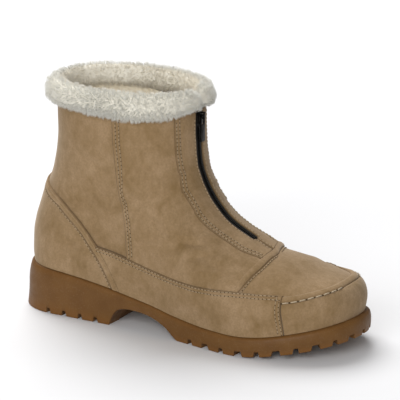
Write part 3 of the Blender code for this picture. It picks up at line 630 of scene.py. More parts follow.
def inside_top(x, z):
    """Distance inside the top line, and the depth of the rounding there."""
    line_x, line_z, depth = top_line()
    shape = x.shape
    x = x.ravel()
    z = z.ravel()
    run_x = np.diff(line_x)
    run_z = np.diff(line_z)
    t = (x[:, None] - line_x[:-1]) * run_x + (z[:, None] - line_z[:-1]) * run_z
    t = np.clip(t / (run_x ** 2 + run_z ** 2), 0, 1)
    away = np.hypot(x[:, None] - line_x[:-1] - t * run_x, z[:, None] - line_z[:-1] - t * run_z)
    k = np.argmin(away, axis=1)
    row = np.arange(len(x))
    side = run_x[k] * (z - line_z[k]) - run_z[k] * (x - line_x[k])
    distance = away[row, k] * np.where(side > 0, 1.0, -1.0)
    t = t[row, k]
    depth = depth[k] * (1 - t) + depth[k + 1] * t
    return distance.reshape(shape), depth.reshape(shape)


def back_line(z):
    """Place of the line down the back at a height, and the depth of the rounding beside it."""
    share = (z - HEEL_SEAT) / (COLLAR_HEIGHT - HEEL_SEAT)
    x = spline(BACK_LINE, "x", "height", share) * LAST_LENGTH
    return x, spline(BACK_LINE, "round", "height", share) * BALL_WIDTH


def toe_wall(z):
    """Place of the front of the toe at a height."""
    base = feather(np.array(TOE_WALL["x"][1] * LAST_LENGTH))
    return spline(TOE_WALL, "x", "rise", (z - base) / SHAFT_RISE) * LAST_LENGTH


def fullness(x, z):
    """1 on the boot's outline seen from the side, less inside it, 0 on its flat sides."""
    distance, depth = inside_top(x, z)
    back, back_depth = back_line(z)
    top = np.maximum(1 - distance / depth, 0)
    toe = np.maximum(1 - (toe_wall(z) - x) / TOE_DEPTH, 0)
    heel = np.maximum(1 - (x - back) / back_depth, 0)
    return (top ** OUTLINE_POWER + toe ** OUTLINE_POWER + heel ** OUTLINE_POWER) ** (1 / OUTLINE_POWER)


def half_width(x, z, name):
    """Distance from the middle to the surface on the outer or inner side."""
    foot = spline(PLAN, name, "x", x / LAST_LENGTH) * BALL_WIDTH
    rise = (z - BALL_SEAT) / SHAFT_RISE
    shaft = spline(SHAFT, "half", "rise", rise) * BALL_WIDTH
    foot = foot * (1 + FOOT_SWELL * blend(0.0, SWELL_RISE, (z - feather(x)) / SHAFT_RISE))
    mix = blend(FOOT_ENDS, SHAFT_STARTS, rise)
    flat = foot * (1 - mix) + shaft * mix
    full = np.clip(fullness(x, z), 0, 1)
    return flat * np.maximum(1 - full ** SIDE_POWER, 0) ** (1 / SIDE_POWER)


def ring_curve(level, share):
    """Side view of a ring: from just behind the back (share 0) to just ahead of the front (1)."""
    front = spline(RINGS, "front", "level", level) * LAST_LENGTH
    front_z = feather(front) + spline(RINGS, "rise", "level", level) * SHAFT_RISE
    lean = np.radians(spline(RINGS, "lean", "level", level))
    reach = spline(RINGS, "reach", "level", level) * LAST_LENGTH
    back_z = HEEL_SEAT + spline(RINGS, "back", "level", level) * (COLLAR_HEIGHT - HEEL_SEAT)
    back, _ = back_line(back_z)
    beyond = RING_OVERRUN * LAST_LENGTH
    ahead = 1 - share
    weights = (ahead ** 3, 3 * share * ahead ** 2, 3 * share ** 2 * ahead, share ** 3)
    xs = (back - beyond, back + BACK_REACH * LAST_LENGTH,
          front + reach * np.cos(lean), front - beyond * np.cos(lean))
    zs = (back_z, back_z, front_z + reach * np.sin(lean), front_z - beyond * np.sin(lean))
    x = sum(w * p for w, p in zip(weights, xs))
    bowed = sum(w * p for w, p in zip(weights, zs))
    level_with_sole = feather(x) + (back_z - feather(back)) * ahead + (front_z - feather(front)) * share
    mix = blend(0.0, FLAT_LEVELS, level)
    return x, level_with_sole * (1 - mix) + bowed * mix


def ring_ends(level):
    """Shares of each ring at which it meets the outline at the back and at the front."""
    share = np.linspace(0, 1, 80)[None, :]
    x, z = ring_curve(level, share)
    inside = fullness(x, z) < 1
    first = np.argmax(inside, axis=1)
    last = inside.shape[1] - 1 - np.argmax(inside[:, ::-1], axis=1)
    share = share[0]
    back = halve(level, share[first - 1], share[first])
    front = halve(level, share[last + 1], share[last])
    return back[:, None], front[:, None]


def halve(level, outside, inside):
    """The share at which a ring crosses the outline, found by halving."""
    for _ in range(24):
        middle = (outside + inside) / 2
        x, z = ring_curve(level[:, 0], middle)
        within = fullness(x, z) < 1
        inside = np.where(within, middle, inside)
        outside = np.where(within, outside, middle)
    return inside


def upper_grid(levels, turns):
    """Points of the upper's surface: a row for each level, round from the front by the outer side."""
    level = np.asarray(levels, float)[:, None]
    back, front = ring_ends(level)
    turn = np.arange(turns) * (2 * math.pi / turns)
    share = back + (front - back) * (1 + np.cos(turn)) / 2
    x, z = ring_curve(level, share)
    outer = np.sin(turn) >= 0
    half = np.where(outer, -half_width(x, z, "outer"), half_width(x, z, "inner"))
    half = np.where(np.abs(np.sin(turn)) < 1e-9, 0.0, half)
    y = half + TOE_SWING * blend(SWING_STARTS, 1.0, x / LAST_LENGTH)
    return np.stack([x - HEEL_CENTRE, y, z], axis=-1)


def worked_surface():
    """Points of the whole upper, a row for each level, round from the front by the outer side."""
    levels = np.linspace(0, 1, LEVELS)
    parts = np.array_split(levels, SURFACE_CHUNKS)
    smooth = np.concatenate([upper_grid(part, TURNS) for part in parts])
    free = blend(0.0, 0.08, levels) * blend(1.0, 0.94, levels)
    relief = (creased(smooth) + softened(smooth)) * free[:, None]
    return smooth + surface_normals(smooth) * relief[..., None]


def creased(points):
    """How far the places on the surface are drawn in or pushed out by its creases."""
    x, y, z = (points[..., axis] for axis in range(3))
    total = 0
    for k in range(len(CREASES["x"])):
        for side, slip in ((-1, 0.0), (1, CREASE_SLIP)):
            middle = (CREASES["x"][k] + slip) * LAST_LENGTH
            rise = feather(middle) + CREASES["rise"][k] * SHAFT_RISE
            angle = math.radians(CREASES["angle"][k])
            along = (x - middle + HEEL_CENTRE) * math.cos(angle) + (z - rise) * math.sin(angle)
            off = (z - rise) * math.cos(angle) - (x - middle + HEEL_CENTRE) * math.sin(angle)
            off = off / (CREASES["width"][k] * 0.001)
            trough = np.exp(-off ** 2) - 0.55 * np.exp(-((off - 1.9) / 1.3) ** 2)
            trough = trough * np.exp(-(2000 * along / CREASES["length"][k]) ** 2)
            total = total - trough * CREASES["depth"][k] * 0.001 * blend(0.0, 0.008, side * y)
    return total


def softened(points):
    """The slight unevenness of soft leather over a last."""
    return SOFT_DEPTH * lumps(points[..., 0] + 0.6 * points[..., 1], points[..., 2], (110, 230), 2)


def cubic_weights(t):
    """Weights of four neighbours for a smooth curve through them."""
    return (
        -0.5 * t + t * t - 0.5 * t ** 3,
        1 - 2.5 * t * t + 1.5 * t ** 3,
        0.5 * t + 2 * t * t - 1.5 * t ** 3,
        -0.5 * t * t + 0.5 * t ** 3,
    )


def read(grid, turn, level):
    """A smooth reading of a grid over the upper at turns in degrees and levels from 0 to 1."""
    turn, level = np.broadcast_arrays(np.asarray(turn, float), np.asarray(level, float))
    rows, count = grid.shape[:2]
    up = np.clip(level, 0, 1) * (rows - 1)
    along = turn / 360 * count
    i = np.minimum(np.floor(up).astype(int), rows - 2)
    j = np.floor(along).astype(int)
    total = 0
    for a, weight_up in zip((-1, 0, 1, 2), cubic_weights(up - i)):
        row = np.clip(i + a, 0, rows - 1)
        line = 0
        for b, weight in zip((-1, 0, 1, 2), cubic_weights(along - j)):
            line = line + grid[row, (j + b) % count] * weight[..., None]
        total = total + line * weight_up[..., None]
    return total


def surface_normals(points):
    """Outward directions over the whole upper."""
    along = np.roll(points, -1, axis=1) - np.roll(points, 1, axis=1)
    upward = np.gradient(points, axis=0)
    return unit(np.cross(upward, along))


def upper_points(turn, level):
    """Places on the upper."""
    return read(SURFACE, turn, level)


def on_upper(line):
    """Places on the upper of pairs of turn and level."""
    return upper_points(line[..., 0], line[..., 1])


def upper_normals(turn, level):
    """Outward directions on the upper."""
    return unit(read(NORMALS, turn, level))


def on_side(x, z):
    """Turns and levels at which the outer side, seen from the side, has given places, and how far off."""
    side = SURFACE[:, :TURNS // 2 + 1]
    flat = side[..., [0, 2]].reshape(-1, 2)
    away = (x[:, None] - flat[:, 0]) ** 2 + (z[:, None] - flat[:, 1]) ** 2
    nearest = np.argmin(away, axis=1)
    level = (nearest // side.shape[1]) / (LEVELS - 1)
    cosine = np.cos(np.radians((nearest % side.shape[1]) * 360 / TURNS))
    step = 1e-3
    for _ in range(12):
        here = side_view(cosine, level)
        miss_x = x - here[:, 0]
        miss_z = z - here[:, 2]
        inward = np.where(cosine > 0, -step, step)
        below = np.where(level > 0.5, -step, step)
        by_cosine = (side_view(cosine + inward, level) - here) / inward[:, None]
        by_level = (side_view(cosine, level + below) - here) / below[:, None]
        det = by_cosine[:, 0] * by_level[:, 2] - by_cosine[:, 2] * by_level[:, 0]
        det = np.where(np.abs(det) < 1e-9, 1e-9, det)
        move = (miss_x * by_level[:, 2] - miss_z * by_level[:, 0]) / det
        lift = (by_cosine[:, 0] * miss_z - by_cosine[:, 2] * miss_x) / det
        cosine = np.clip(cosine + np.clip(move, -0.1, 0.1), -1, 1)
        level = np.clip(level + np.clip(lift, -0.05, 0.05), 0, 1)
    here = side_view(cosine, level)
    return cosine, level, np.hypot(x - here[:, 0], z - here[:, 2])


def side_view(cosine, level):
    """Places on the outer side, its turns given by their cosines."""
    return upper_points(np.degrees(np.arccos(np.clip(cosine, -1, 1))), level)


def seam(rows, count=160):
    """A seam line as turns and levels over the outer side, run on a little past the surface's ends."""
    named = dict(rows)
    steps = np.hypot(np.diff(rows["x"]), np.diff(rows["rise"]))
    named["key"] = np.concatenate([[0], np.cumsum(steps)])
    t = np.linspace(0, named["key"][-1], count)
    x = spline(named, "x", "key", t) * LAST_LENGTH
    z = feather(x) + spline(named, "rise", "key", t) * SHAFT_RISE
    cosine, level, off = on_side(x - HEEL_CENTRE, z)
    on = np.nonzero(off < 2e-5)[0]
    cosine = cosine[on[0]:on[-1] + 1]
    level = level[on[0]:on[-1] + 1]
    line = np.stack([cosine, level], axis=-1)
    line = np.vstack([2.5 * line[0] - 1.5 * line[2], line[1:-1], 2.5 * line[-1] - 1.5 * line[-3]])
    past = np.abs(line[:, 0]) > 1
    turn = np.degrees(np.arccos(np.clip(line[:, 0], -1, 1)))
    beyond = np.degrees(np.sqrt(2 * np.maximum(np.abs(line[:, 0]) - 1, 0)))
    turn = np.where(past & (line[:, 0] > 0), -beyond, turn)
    turn = np.where(past & (line[:, 0] < 0), 180 + beyond, turn)
    return np.stack([turn, line[:, 1]], axis=-1)


def inner_seam(rows):
    """A line of the vamp band over the inner side, where it runs further and further back."""
    named = dict(rows)
    named["key"] = np.arange(len(rows["x"])) * 1.0
    t = np.linspace(-2, len(rows["x"]) + 1, 400)
    x = spline(named, "x", "key", t) * LAST_LENGTH
    z = feather(x) + spline(named, "rise", "key", t) * SHAFT_RISE
    line = []
    for k in range(TURNS // 2):
        column = SURFACE[:, -k % TURNS]
        past = column[:, 0] - np.interp(column[:, 2], z, x - HEEL_CENTRE) + BAND_SKEW * column[:, 1]
        if past[0] < 0:
            break
        i = int(np.argmax(past < 0)) - 1
        line.append((k * 360 / TURNS, (i + past[i] / (past[i] - past[i + 1])) / (LEVELS - 1)))
    line = np.array(line)
    return np.vstack([2 * line[0] - line[1], line])


def meeting(first, second):
    """Where two lines over the upper cross: places along each, and the point."""
    a = first[:-1, None]
    b = np.diff(first, axis=0)[:, None]
    c = second[None, :-1]
    d = np.diff(second, axis=0)[None]
    cross = b[..., 0] * d[..., 1] - b[..., 1] * d[..., 0]
    cross = np.where(np.abs(cross) < 1e-15, 1e-15, cross)
    s = ((c - a)[..., 0] * d[..., 1] - (c - a)[..., 1] * d[..., 0]) / cross
    t = ((c - a)[..., 0] * b[..., 1] - (c - a)[..., 1] * b[..., 0]) / cross
    found = np.argwhere((s >= 0) & (s <= 1) & (t >= 0) & (t <= 1))
    if len(found) == 0:
        raise ValueError("two seam lines don't cross")
    i, j = found[0]
    return i + s[i, j], j + t[i, j], first[i] + (first[i + 1] - first[i]) * s[i, j]


def part_of(line, start, end):
    """The part of a line from where it crosses one line to where it crosses another."""
    low, _, first = meeting(line, start)
    high, _, last = meeting(line, end)
    if low > high:
        return part_of(line[::-1], start, end)
    middle = line[int(math.floor(low)) + 1:int(math.ceil(high))]
    return np.vstack([first, middle, last])


def mirrored(line, about):
    """A line that ends on the front (0) or back (180), carried on over the other side."""
    other = line[::-1].copy()
    other[:, 0] = 2 * about - other[:, 0]
    return np.vstack([line, other[1:]])


def across(line):
    """A line's turns changed to those of the inner side."""
    other = np.array(line, float)
    other[:, 0] = -other[:, 0]
    return other


def evened(line, shares):
    """Points of a line at shares of its real length."""
    run = running(on_upper(line))
    at = np.asarray(shares) * run[-1]
    return np.stack([np.interp(at, run, line[:, axis]) for axis in range(2)], axis=-1)


def real_length(line):
    """A line's real length on the upper."""
    places = on_upper(line)
    return float(np.sum(np.linalg.norm(np.diff(places, axis=0), axis=-1)))


def shares_of(length, step=PANEL_STEP):
    """Shares of a length at which a panel has rows: close together near both ends."""
    near = [d for d in EDGE_ROWS if d < length * 0.45]
    rest = length - 2 * near[-1]
    count = max(1, int(round(rest / step)))
    middle = [near[-1] + rest * k / count for k in range(1, count)]
    far = [length - d for d in reversed(near)]
    return np.array(near + middle + far) / length


def filled(bottom, right, top, left):
    """Turns and levels over the area that four lines enclose. Bottom and top run left to right."""
    along = shares_of((real_length(bottom) + real_length(top)) / 2)
    up = shares_of((real_length(left) + real_length(right)) / 2)
    low = evened(bottom, along)[None]
    high = evened(top, along)[None]
    start = evened(left, up)[:, None]
    end = evened(right, up)[:, None]
    s = along[None, :, None]
    t = up[:, None, None]
    corners = ((1 - s) * (1 - t) * low[:, :1] + s * (1 - t) * low[:, -1:]
               + (1 - s) * t * high[:, :1] + s * t * high[:, -1:])
    return low * (1 - t) + high * t + start * (1 - s) + end * s - corners


def banded(low_line, high_line, step=PANEL_STEP):
    """Turns and levels over the band between two lines."""
    length = (real_length(low_line) + real_length(high_line)) / 2
    along = shares_of(length, step)
    low = evened(low_line, along)
    high = evened(high_line, along)
    gap = on_upper(low) - on_upper(high)
    up = shares_of(float(np.linalg.norm(gap, axis=-1).mean()), step)[:, None, None]
    return low[None] * (1 - up) + high[None] * up


def nearest(points, line):
    """Distance of each point to a line of points."""
    flat = points.reshape(-1, 3)
    start = line[:-1]
    run = np.diff(line, axis=0)
    square = np.maximum(np.sum(run * run, axis=-1), 1e-16)
    best = np.full(len(flat), 1e9)
    for first in range(0, len(flat), 4000):
        block = flat[first:first + 4000, None]
        t = np.clip(np.sum((block - start) * run, axis=-1) / square, 0, 1)
        away = np.linalg.norm(block - start - run * t[..., None], axis=-1)
        best[first:first + 4000] = away.min(axis=1)
    return best.reshape(points.shape[:-1])


def rounded(distance, radius):
    """0 at an edge and 1 past a radius from it, round in between."""
    t = np.clip(distance / radius, 0, 1)
    return np.sqrt(1 - (1 - t) ** 2)


def linked(name, data):
    """An object put into the scene."""
    made = bpy.data.objects.new(name, data)
    bpy.context.scene.collection.objects.link(made)
    return made


def mesh_piece(name, vertices, faces, finish, body="boot"):
    """A mesh object with its faces turned outward and its finish, riding on a body."""
    mesh = bpy.data.meshes.new(name)
    mesh.from_pydata(np.asarray(vertices).reshape(-1, 3).tolist(), [], faces)
    work = bmesh.new()
    work.from_mesh(mesh)
    bmesh.ops.recalc_face_normals(work, faces=work.faces)
    work.to_mesh(mesh)
    work.free()
    mesh.shade_smooth()
    mesh.materials.append(finish)
    made = linked(name, mesh)
    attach(made, body)
    return made


def grid_faces(rows, count, start=0, closed=False):
    """Four-sided faces over a grid of points, joined round if it is closed."""
    i, j = np.meshgrid(np.arange(rows - 1), np.arange(count if closed else count - 1), indexing="ij")
    k = (j + 1) % count
    faces = np.stack([i * count + j, i * count + k, (i + 1) * count + k, (i + 1) * count + j], axis=-1)
    return (faces.reshape(-1, 4) + start).tolist()


def rim_of(rows, count):
    """Numbers of the points round the edge of a grid, in order."""
    last = (rows - 1) * count
    return (list(range(count)) + [i * count + count - 1 for i in range(1, rows)]
            + [last + j for j in range(count - 2, -1, -1)] + [i * count for i in range(rows - 2, 0, -1)])


def wall_faces(upper, lower):
    """Four-sided faces between two closed rows of points, given by their numbers."""
    return [(upper[k - 1], upper[k], lower[k], lower[k - 1]) for k in (*range(1, len(upper)), 0)]


def add_value(made, name, values):
    """A value at each of a piece's points, for its material to read."""
    attribute = made.data.attributes.new(name, "FLOAT", "POINT")
    attribute.data.foreach_set("value", np.asarray(values, np.float32).ravel())


def panel(name, places, edges, thick, finish, node, shape=None, roll=0.0012, rim=0.25, rows=(), fainter_edge=0.0):
    """A leather panel laid on the upper: rounded where it has free edges, drawn in at its stitch rows."""
    points = on_upper(places)
    normals = upper_normals(places[..., 0], places[..., 1])
    lines = [on_upper(edge) for edge in edges]
    distance = np.min([nearest(points, line) for line in lines], axis=0)
    height = SEAM_GAP + thick * (rim + (1 - rim) * rounded(distance, roll))
    for edge, gap in rows:
        away = nearest(points, on_upper(edge))
        height = height - ROW_DEPTH * thick * np.exp(-((away - gap) / ROW_WIDTH) ** 2)
    if shape is not None:
        height = height + shape(places, points)
    skin = points + normals * height[..., None]
    rows_count, count = skin.shape[:2]
    ring = rim_of(rows_count, count)
    under = points.reshape(-1, 3)[ring] - normals.reshape(-1, 3)[ring] * RIM_UNDER
    vertices = np.vstack([skin.reshape(-1, 3), under])
    start = rows_count * count
    faces = grid_faces(rows_count, count) + wall_faces(ring, range(start, start + len(ring)))
    made = mesh_piece(name, vertices, faces, finish)
    # The distance from the edges drives the suede's painted seam shade and edge wear; a set amount added to
    # it makes that mark fainter
    edge_value = np.concatenate([distance.ravel(), np.zeros(len(under))]) + fainter_edge
    add_value(made, "edge", edge_value)
    if node:
        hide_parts(node)
    return made


def node(tree, kind, **settings):
    """A shader node: small names are its settings, names with capitals are the values of its inputs."""
    made = tree.nodes.new(kind)
    for name, value in settings.items():
        if name[0].islower():
            setattr(made, name, value)
        else:
            made.inputs[name.replace("_", " ")].default_value = value
    return made


def join(tree, source, target):
    """A link from an output to an input."""
    tree.links.new(source, target)


def combined(tree, operation, first, second):
    """Two values worked together, each a number or an output."""
    made = node(tree, "ShaderNodeMath", operation=operation)
    for socket, value in zip(made.inputs, (first, second)):
        if isinstance(value, (int, float)):
            socket.default_value = value
        else:
            join(tree, value, socket)
    return made.outputs[0]


def ranged(tree, value, low, high, to_low=0.0, to_high=1.0):
    """A value spread from one range over another."""
    made = node(tree, "ShaderNodeMapRange", From_Min=low, From_Max=high, To_Min=to_low, To_Max=to_high)
    join(tree, value, made.inputs["Value"])
    return made.outputs["Result"]


def blended(tree, share, first, second):
    """A colour between two, each a colour or an output."""
    made = node(tree, "ShaderNodeMix", data_type="RGBA")
    join(tree, share, made.inputs["Factor"])
    for socket, value in ((made.inputs[6], first), (made.inputs[7], second)):
        if isinstance(value, tuple):
            socket.default_value = (*value, 1.0)
        else:
            join(tree, value, socket)
    return made.outputs[2]


def noise(tree, place, scale, detail=2.0, rough=0.5):
    """A soft random pattern, its scale in patches a metre."""
    made = node(tree, "ShaderNodeTexNoise", Scale=scale, Detail=detail, Roughness=rough)
    join(tree, place, made.inputs["Vector"])
    return made.outputs["Fac"]


def object_place(tree):
    """The place on the boot, in metres."""
    return node(tree, "ShaderNodeTexCoord").outputs["Object"]


def stretched(tree, place, scale, turn=(0.0, 0.0, 0.0)):
    """A place scaled by different amounts along the axes, for brushed and drawn patterns."""
    made = node(tree, "ShaderNodeMapping", Scale=scale, Rotation=turn)
    join(tree, place, made.inputs["Vector"])
    return made.outputs["Vector"]


def kept_value(tree, name):
    """A value kept at the points of a piece."""
    return node(tree, "ShaderNodeAttribute", attribute_name=name).outputs["Fac"]


def effect(name, inputs, outputs):
    """An effect that materials share, with named inputs and outputs."""
    made = bpy.data.node_groups.new(name, "ShaderNodeTree")
    for label, value in inputs:
        socket = made.interface.new_socket(label, in_out="INPUT", socket_type="NodeSocketFloat")
        socket.default_value = value
    for label in outputs:
        made.interface.new_socket(label, in_out="OUTPUT", socket_type="NodeSocketFloat")
    return made, made.nodes.new("NodeGroupInput").outputs, made.nodes.new("NodeGroupOutput").inputs


def placed(tree, group, **values):
    """An effect placed in a material with its own values."""
    made = node(tree, "ShaderNodeGroup", node_tree=group)
    for name, value in values.items():
        made.inputs[name].default_value = value
    return made


def nap_effect():
    """Brushed nap: soft patches where it lies either way, finer flecks, and its height."""
    tree, given, out = effect("nap", (("Patches", 50.0), ("Flecks", 700.0)), ("Tone", "Fleck", "Height"))
    place = object_place(tree)
    patch = node(tree, "ShaderNodeTexNoise", Detail=3.0, Roughness=0.55, Distortion=0.6)
    join(tree, place, patch.inputs["Vector"])
    join(tree, given["Patches"], patch.inputs["Scale"])
    fleck = node(tree, "ShaderNodeTexNoise", Detail=3.0, Roughness=0.65)
    join(tree, place, fleck.inputs["Vector"])
    join(tree, given["Flecks"], fleck.inputs["Scale"])
    strokes = noise(tree, stretched(tree, place, (260.0, 260.0, 150.0), (0.0, 0.5, 0.0)), 1.0, 2.0)
    tone = combined(tree, "ADD", combined(tree, "MULTIPLY", patch.outputs["Fac"], 0.70),
                    combined(tree, "MULTIPLY", strokes, 0.30))
    join(tree, ranged(tree, tone, 0.33, 0.67), out["Tone"])
    join(tree, ranged(tree, fleck.outputs["Fac"], 0.3, 0.7), out["Fleck"])
    fine = noise(tree, place, 2600.0, 2.0)
    height = combined(tree, "ADD", fleck.outputs["Fac"], combined(tree, "MULTIPLY", fine, 0.7))
    join(tree, height, out["Height"])
    return tree


def edge_wear_and_shade_effect():
    """A mask that is 1 on a piece's edge and fades unevenly past it, over a width in metres: where edge
    wear and painted shade of the seams go.
    """
    tree, given, out = effect("edge_wear_and_shade", (("Width", 0.001),), ("Mask",))
    edge = kept_value(tree, "edge")
    share = combined(tree, "DIVIDE", edge, given["Width"])
    uneven = combined(tree, "MULTIPLY", noise(tree, object_place(tree), 400.0), 0.7)
    mask = combined(tree, "SUBTRACT", combined(tree, "SUBTRACT", 1.45, uneven), share)
    made = node(tree, "ShaderNodeClamp")
    join(tree, mask, made.inputs["Value"])
    join(tree, made.outputs[0], out["Mask"])
    return tree


def finish(name, roughness, **settings):
    """A new material and its shader, with values that are the same all over."""
    made = bpy.data.materials.new(name)
    made.use_nodes = True
    tree = made.node_tree
    shader = tree.nodes["Principled BSDF"]
    shader.inputs["Roughness"].default_value = roughness
    for label, value in settings.items():
        shader.inputs[label.replace("_", " ")].default_value = value
    return made, tree, shader


def bumped(tree, shader, height, depth, strength=1.0):
    """Fine relief on a shader, its depth in metres."""
    made = node(tree, "ShaderNodeBump", Strength=strength, Distance=depth)
    join(tree, height, made.inputs["Height"])
    join(tree, made.outputs["Normal"], shader.inputs["Normal"])


def suede_finish(name, nap, wear_and_shade, light, dark, edge):
    """Brushed suede in two tones, with edges darkened: partly wear, partly painted shade of the seams."""
    made, tree, shader = finish(name, 0.95, Specular_IOR_Level=0.12, Sheen_Weight=0.30,
                                Sheen_Roughness=0.45, Sheen_Tint=SUEDE_SHEEN)
    pattern = placed(tree, nap, Patches=40.0, Flecks=700.0)
    colour = blended(tree, pattern.outputs["Tone"], dark, light)
    fleck = ranged(tree, pattern.outputs["Fleck"], 0.0, 1.0, 0.0, 0.36)
    colour = blended(tree, fleck, colour, tuple(0.62 * value for value in dark))
    # Painted shade of the seams, with some edge wear: the panels darken towards their edges
    mask = placed(tree, wear_and_shade, Width=0.0011)
    share = combined(tree, "MULTIPLY", mask.outputs["Mask"], 0.75)
    colour = blended(tree, share, colour, edge)
    join(tree, colour, shader.inputs["Base Color"])
    bumped(tree, shader, pattern.outputs["Height"], 0.00016, 0.6)
    return made


def rubber_finish():
    """Translucent gum rubber: darker and warmer in its body, amber with painted light shining through where
    the lugs are thin.
    """
    made, tree, shader = finish("gum_rubber", 0.45, Specular_IOR_Level=0.16)
    place = object_place(tree)
    cloud = ranged(tree, noise(tree, place, 70.0, 3.0), 0.3, 0.7)
    body = blended(tree, cloud, *RUBBER_BODY)
    # Painted light: amber where light would shine through thin rubber
    colour = blended(tree, kept_value(tree, "lit_through"), body, RUBBER_LIT_THROUGH)
    dust = ranged(tree, noise(tree, place, 900.0, 3.0), 0.55, 0.75, 0.0, 0.16)
    colour = blended(tree, dust, colour, RUBBER_DUST)
    join(tree, colour, shader.inputs["Base Color"])
    uneven = ranged(tree, noise(tree, place, 300.0, 3.0), 0.3, 0.7, 0.40, 0.56)
    join(tree, uneven, shader.inputs["Roughness"])
    grain = combined(tree, "ADD", noise(tree, place, 1800.0, 2.0), noise(tree, place, 500.0, 2.0))
    bumped(tree, shader, grain, 0.00007, 0.5)
    return made


def fur_finish():
    """Fur: warm at the roots, pale at the tips, a little different from lock to lock, and lighter and
    warmer inside the collar: partly its beige, partly painted light in the mouth.
    """
    made, tree, shader = finish("cream_fur", 0.9, Specular_IOR_Level=0.05, Sheen_Weight=0.25,
                                Sheen_Roughness=0.4)
    colour = blended(tree, kept_value(tree, "tip"), *FUR_TONES)
    colour = blended(tree, kept_value(tree, "warmth_and_light"), colour, FUR_WARMTH_AND_LIGHT)
    join(tree, colour, shader.inputs["Base Color"])
    return made


def fleece_finish(name, light, dark):
    """Short curled fleece."""
    made, tree, shader = finish(name, 0.95, Specular_IOR_Level=0.10, Sheen_Weight=0.3, Sheen_Roughness=0.5)
    place = object_place(tree)
    curls = noise(tree, place, 330.0, 3.0, 0.6)
    join(tree, blended(tree, ranged(tree, curls, 0.35, 0.65), dark, light), shader.inputs["Base Color"])
    bumped(tree, shader, curls, 0.0012, 0.9)
    return made


def thread_finish(name, colour, dark):
    """Twisted thread."""
    made, tree, shader = finish(name, 0.65, Specular_IOR_Level=0.3)
    place = object_place(tree)
    twist = noise(tree, place, 1500.0, 2.0)
    join(tree, blended(tree, ranged(tree, twist, 0.3, 0.7), dark, colour), shader.inputs["Base Color"])
    bumped(tree, shader, twist, 0.00010, 0.8)
    return made


def tape_finish():
    """Black woven tape beside the teeth."""
    made, tree, shader = finish("black_tape", 0.72, Specular_IOR_Level=0.25)
    place = object_place(tree)
    weave = node(tree, "ShaderNodeTexWave", Scale=320.0, Distortion=1.0, bands_direction="Z")
    join(tree, place, weave.inputs["Vector"])
    colour = blended(tree, weave.outputs["Fac"], *TAPE_TONES)
    join(tree, colour, shader.inputs["Base Color"])
    bumped(tree, shader, weave.outputs["Fac"], 0.00012, 0.7)
    return made


def metal_finish():
    """Dark plated metal, brighter where it is rubbed."""
    made, tree, shader = finish("dark_metal", 0.34, Metallic=1.0)
    place = object_place(tree)
    rubbed = ranged(tree, noise(tree, place, 260.0, 4.0), 0.45, 0.7)
    colour = blended(tree, rubbed, *METAL_TONES)
    join(tree, colour, shader.inputs["Base Color"])
    uneven = ranged(tree, noise(tree, place, 900.0, 3.0), 0.3, 0.7, 0.26, 0.44)
    join(tree, uneven, shader.inputs["Roughness"])
    bumped(tree, shader, noise(tree, place, 1400.0, 2.0), 0.00003, 0.4)
    return made


def hole_shade_finish():
    """Painted shade: the dark inside of needle holes."""
    made, tree, shader = finish("needle_hole_shade", 0.95, Specular_IOR_Level=0.05)
    dark = noise(tree, object_place(tree), 900.0)
    colour = blended(tree, dark, *HOLE_SHADE_TONES)
    join(tree, colour, shader.inputs["Base Color"])
    return made


def floor_finish():
    """A plain pale floor."""
    made, tree, shader = finish("pale_floor", 0.9, Specular_IOR_Level=0.1)
    cloud = noise(tree, object_place(tree), 3.0)
    join(tree, blended(tree, cloud, *FLOOR_TONES), shader.inputs["Base Color"])
    return made


def beside(line, gap):
    """A line over the upper moved sideways by a distance, to its left if the distance is positive."""
    places = on_upper(line)
    along = np.gradient(places, axis=0)
    side = unit(np.cross(upper_normals(line[:, 0], line[:, 1]), along))
    by_turn = upper_points(line[:, 0] + 0.5, line[:, 1]) - upper_points(line[:, 0] - 0.5, line[:, 1])
    by_level = upper_points(line[:, 0], line[:, 1] + 0.002) - upper_points(line[:, 0], line[:, 1] - 0.002)
    by_level = by_level / 0.004
    a = np.sum(by_turn * by_turn, axis=-1)
    b = np.sum(by_turn * by_level, axis=-1)
    c = np.sum(by_level * by_level, axis=-1)
    d = np.sum(by_turn * side, axis=-1)
    e = np.sum(by_level * side, axis=-1)
    det = a * c - b * b
    return line + gap * np.stack([(c * d - b * e) / det, (a * e - b * d) / det], axis=-1)


def tubes(paths, radii, sides=3):
    """Points and faces of many thin round pieces along paths: an array of pieces, places along each."""
    along = unit(np.gradient(paths, axis=1))
    helper = np.where(np.abs(along[..., 2:]) < 0.9, (0.0, 0.0, 1.0), (1.0, 0.0, 0.0))
    side = unit(np.cross(along, helper))
    lift = np.cross(side, along)
    angle = np.arange(sides) * (2 * math.pi / sides)
    ring = side[:, :, None] * np.cos(angle)[:, None] + lift[:, :, None] * np.sin(angle)[:, None]
    radii = np.broadcast_to(radii, paths.shape[:2])
    points = paths[:, :, None] + ring * radii[:, :, None, None]
    index = np.arange(points.shape[0] * points.shape[1] * sides).reshape(points.shape[:3])
    turned = np.roll(index, -1, axis=2)
    walls = np.stack([index[:, :-1], index[:, 1:], turned[:, 1:], turned[:, :-1]], axis=-1)
    return points.reshape(-1, 3), walls.reshape(-1, 4), index[:, 0], index[:, -1, ::-1]


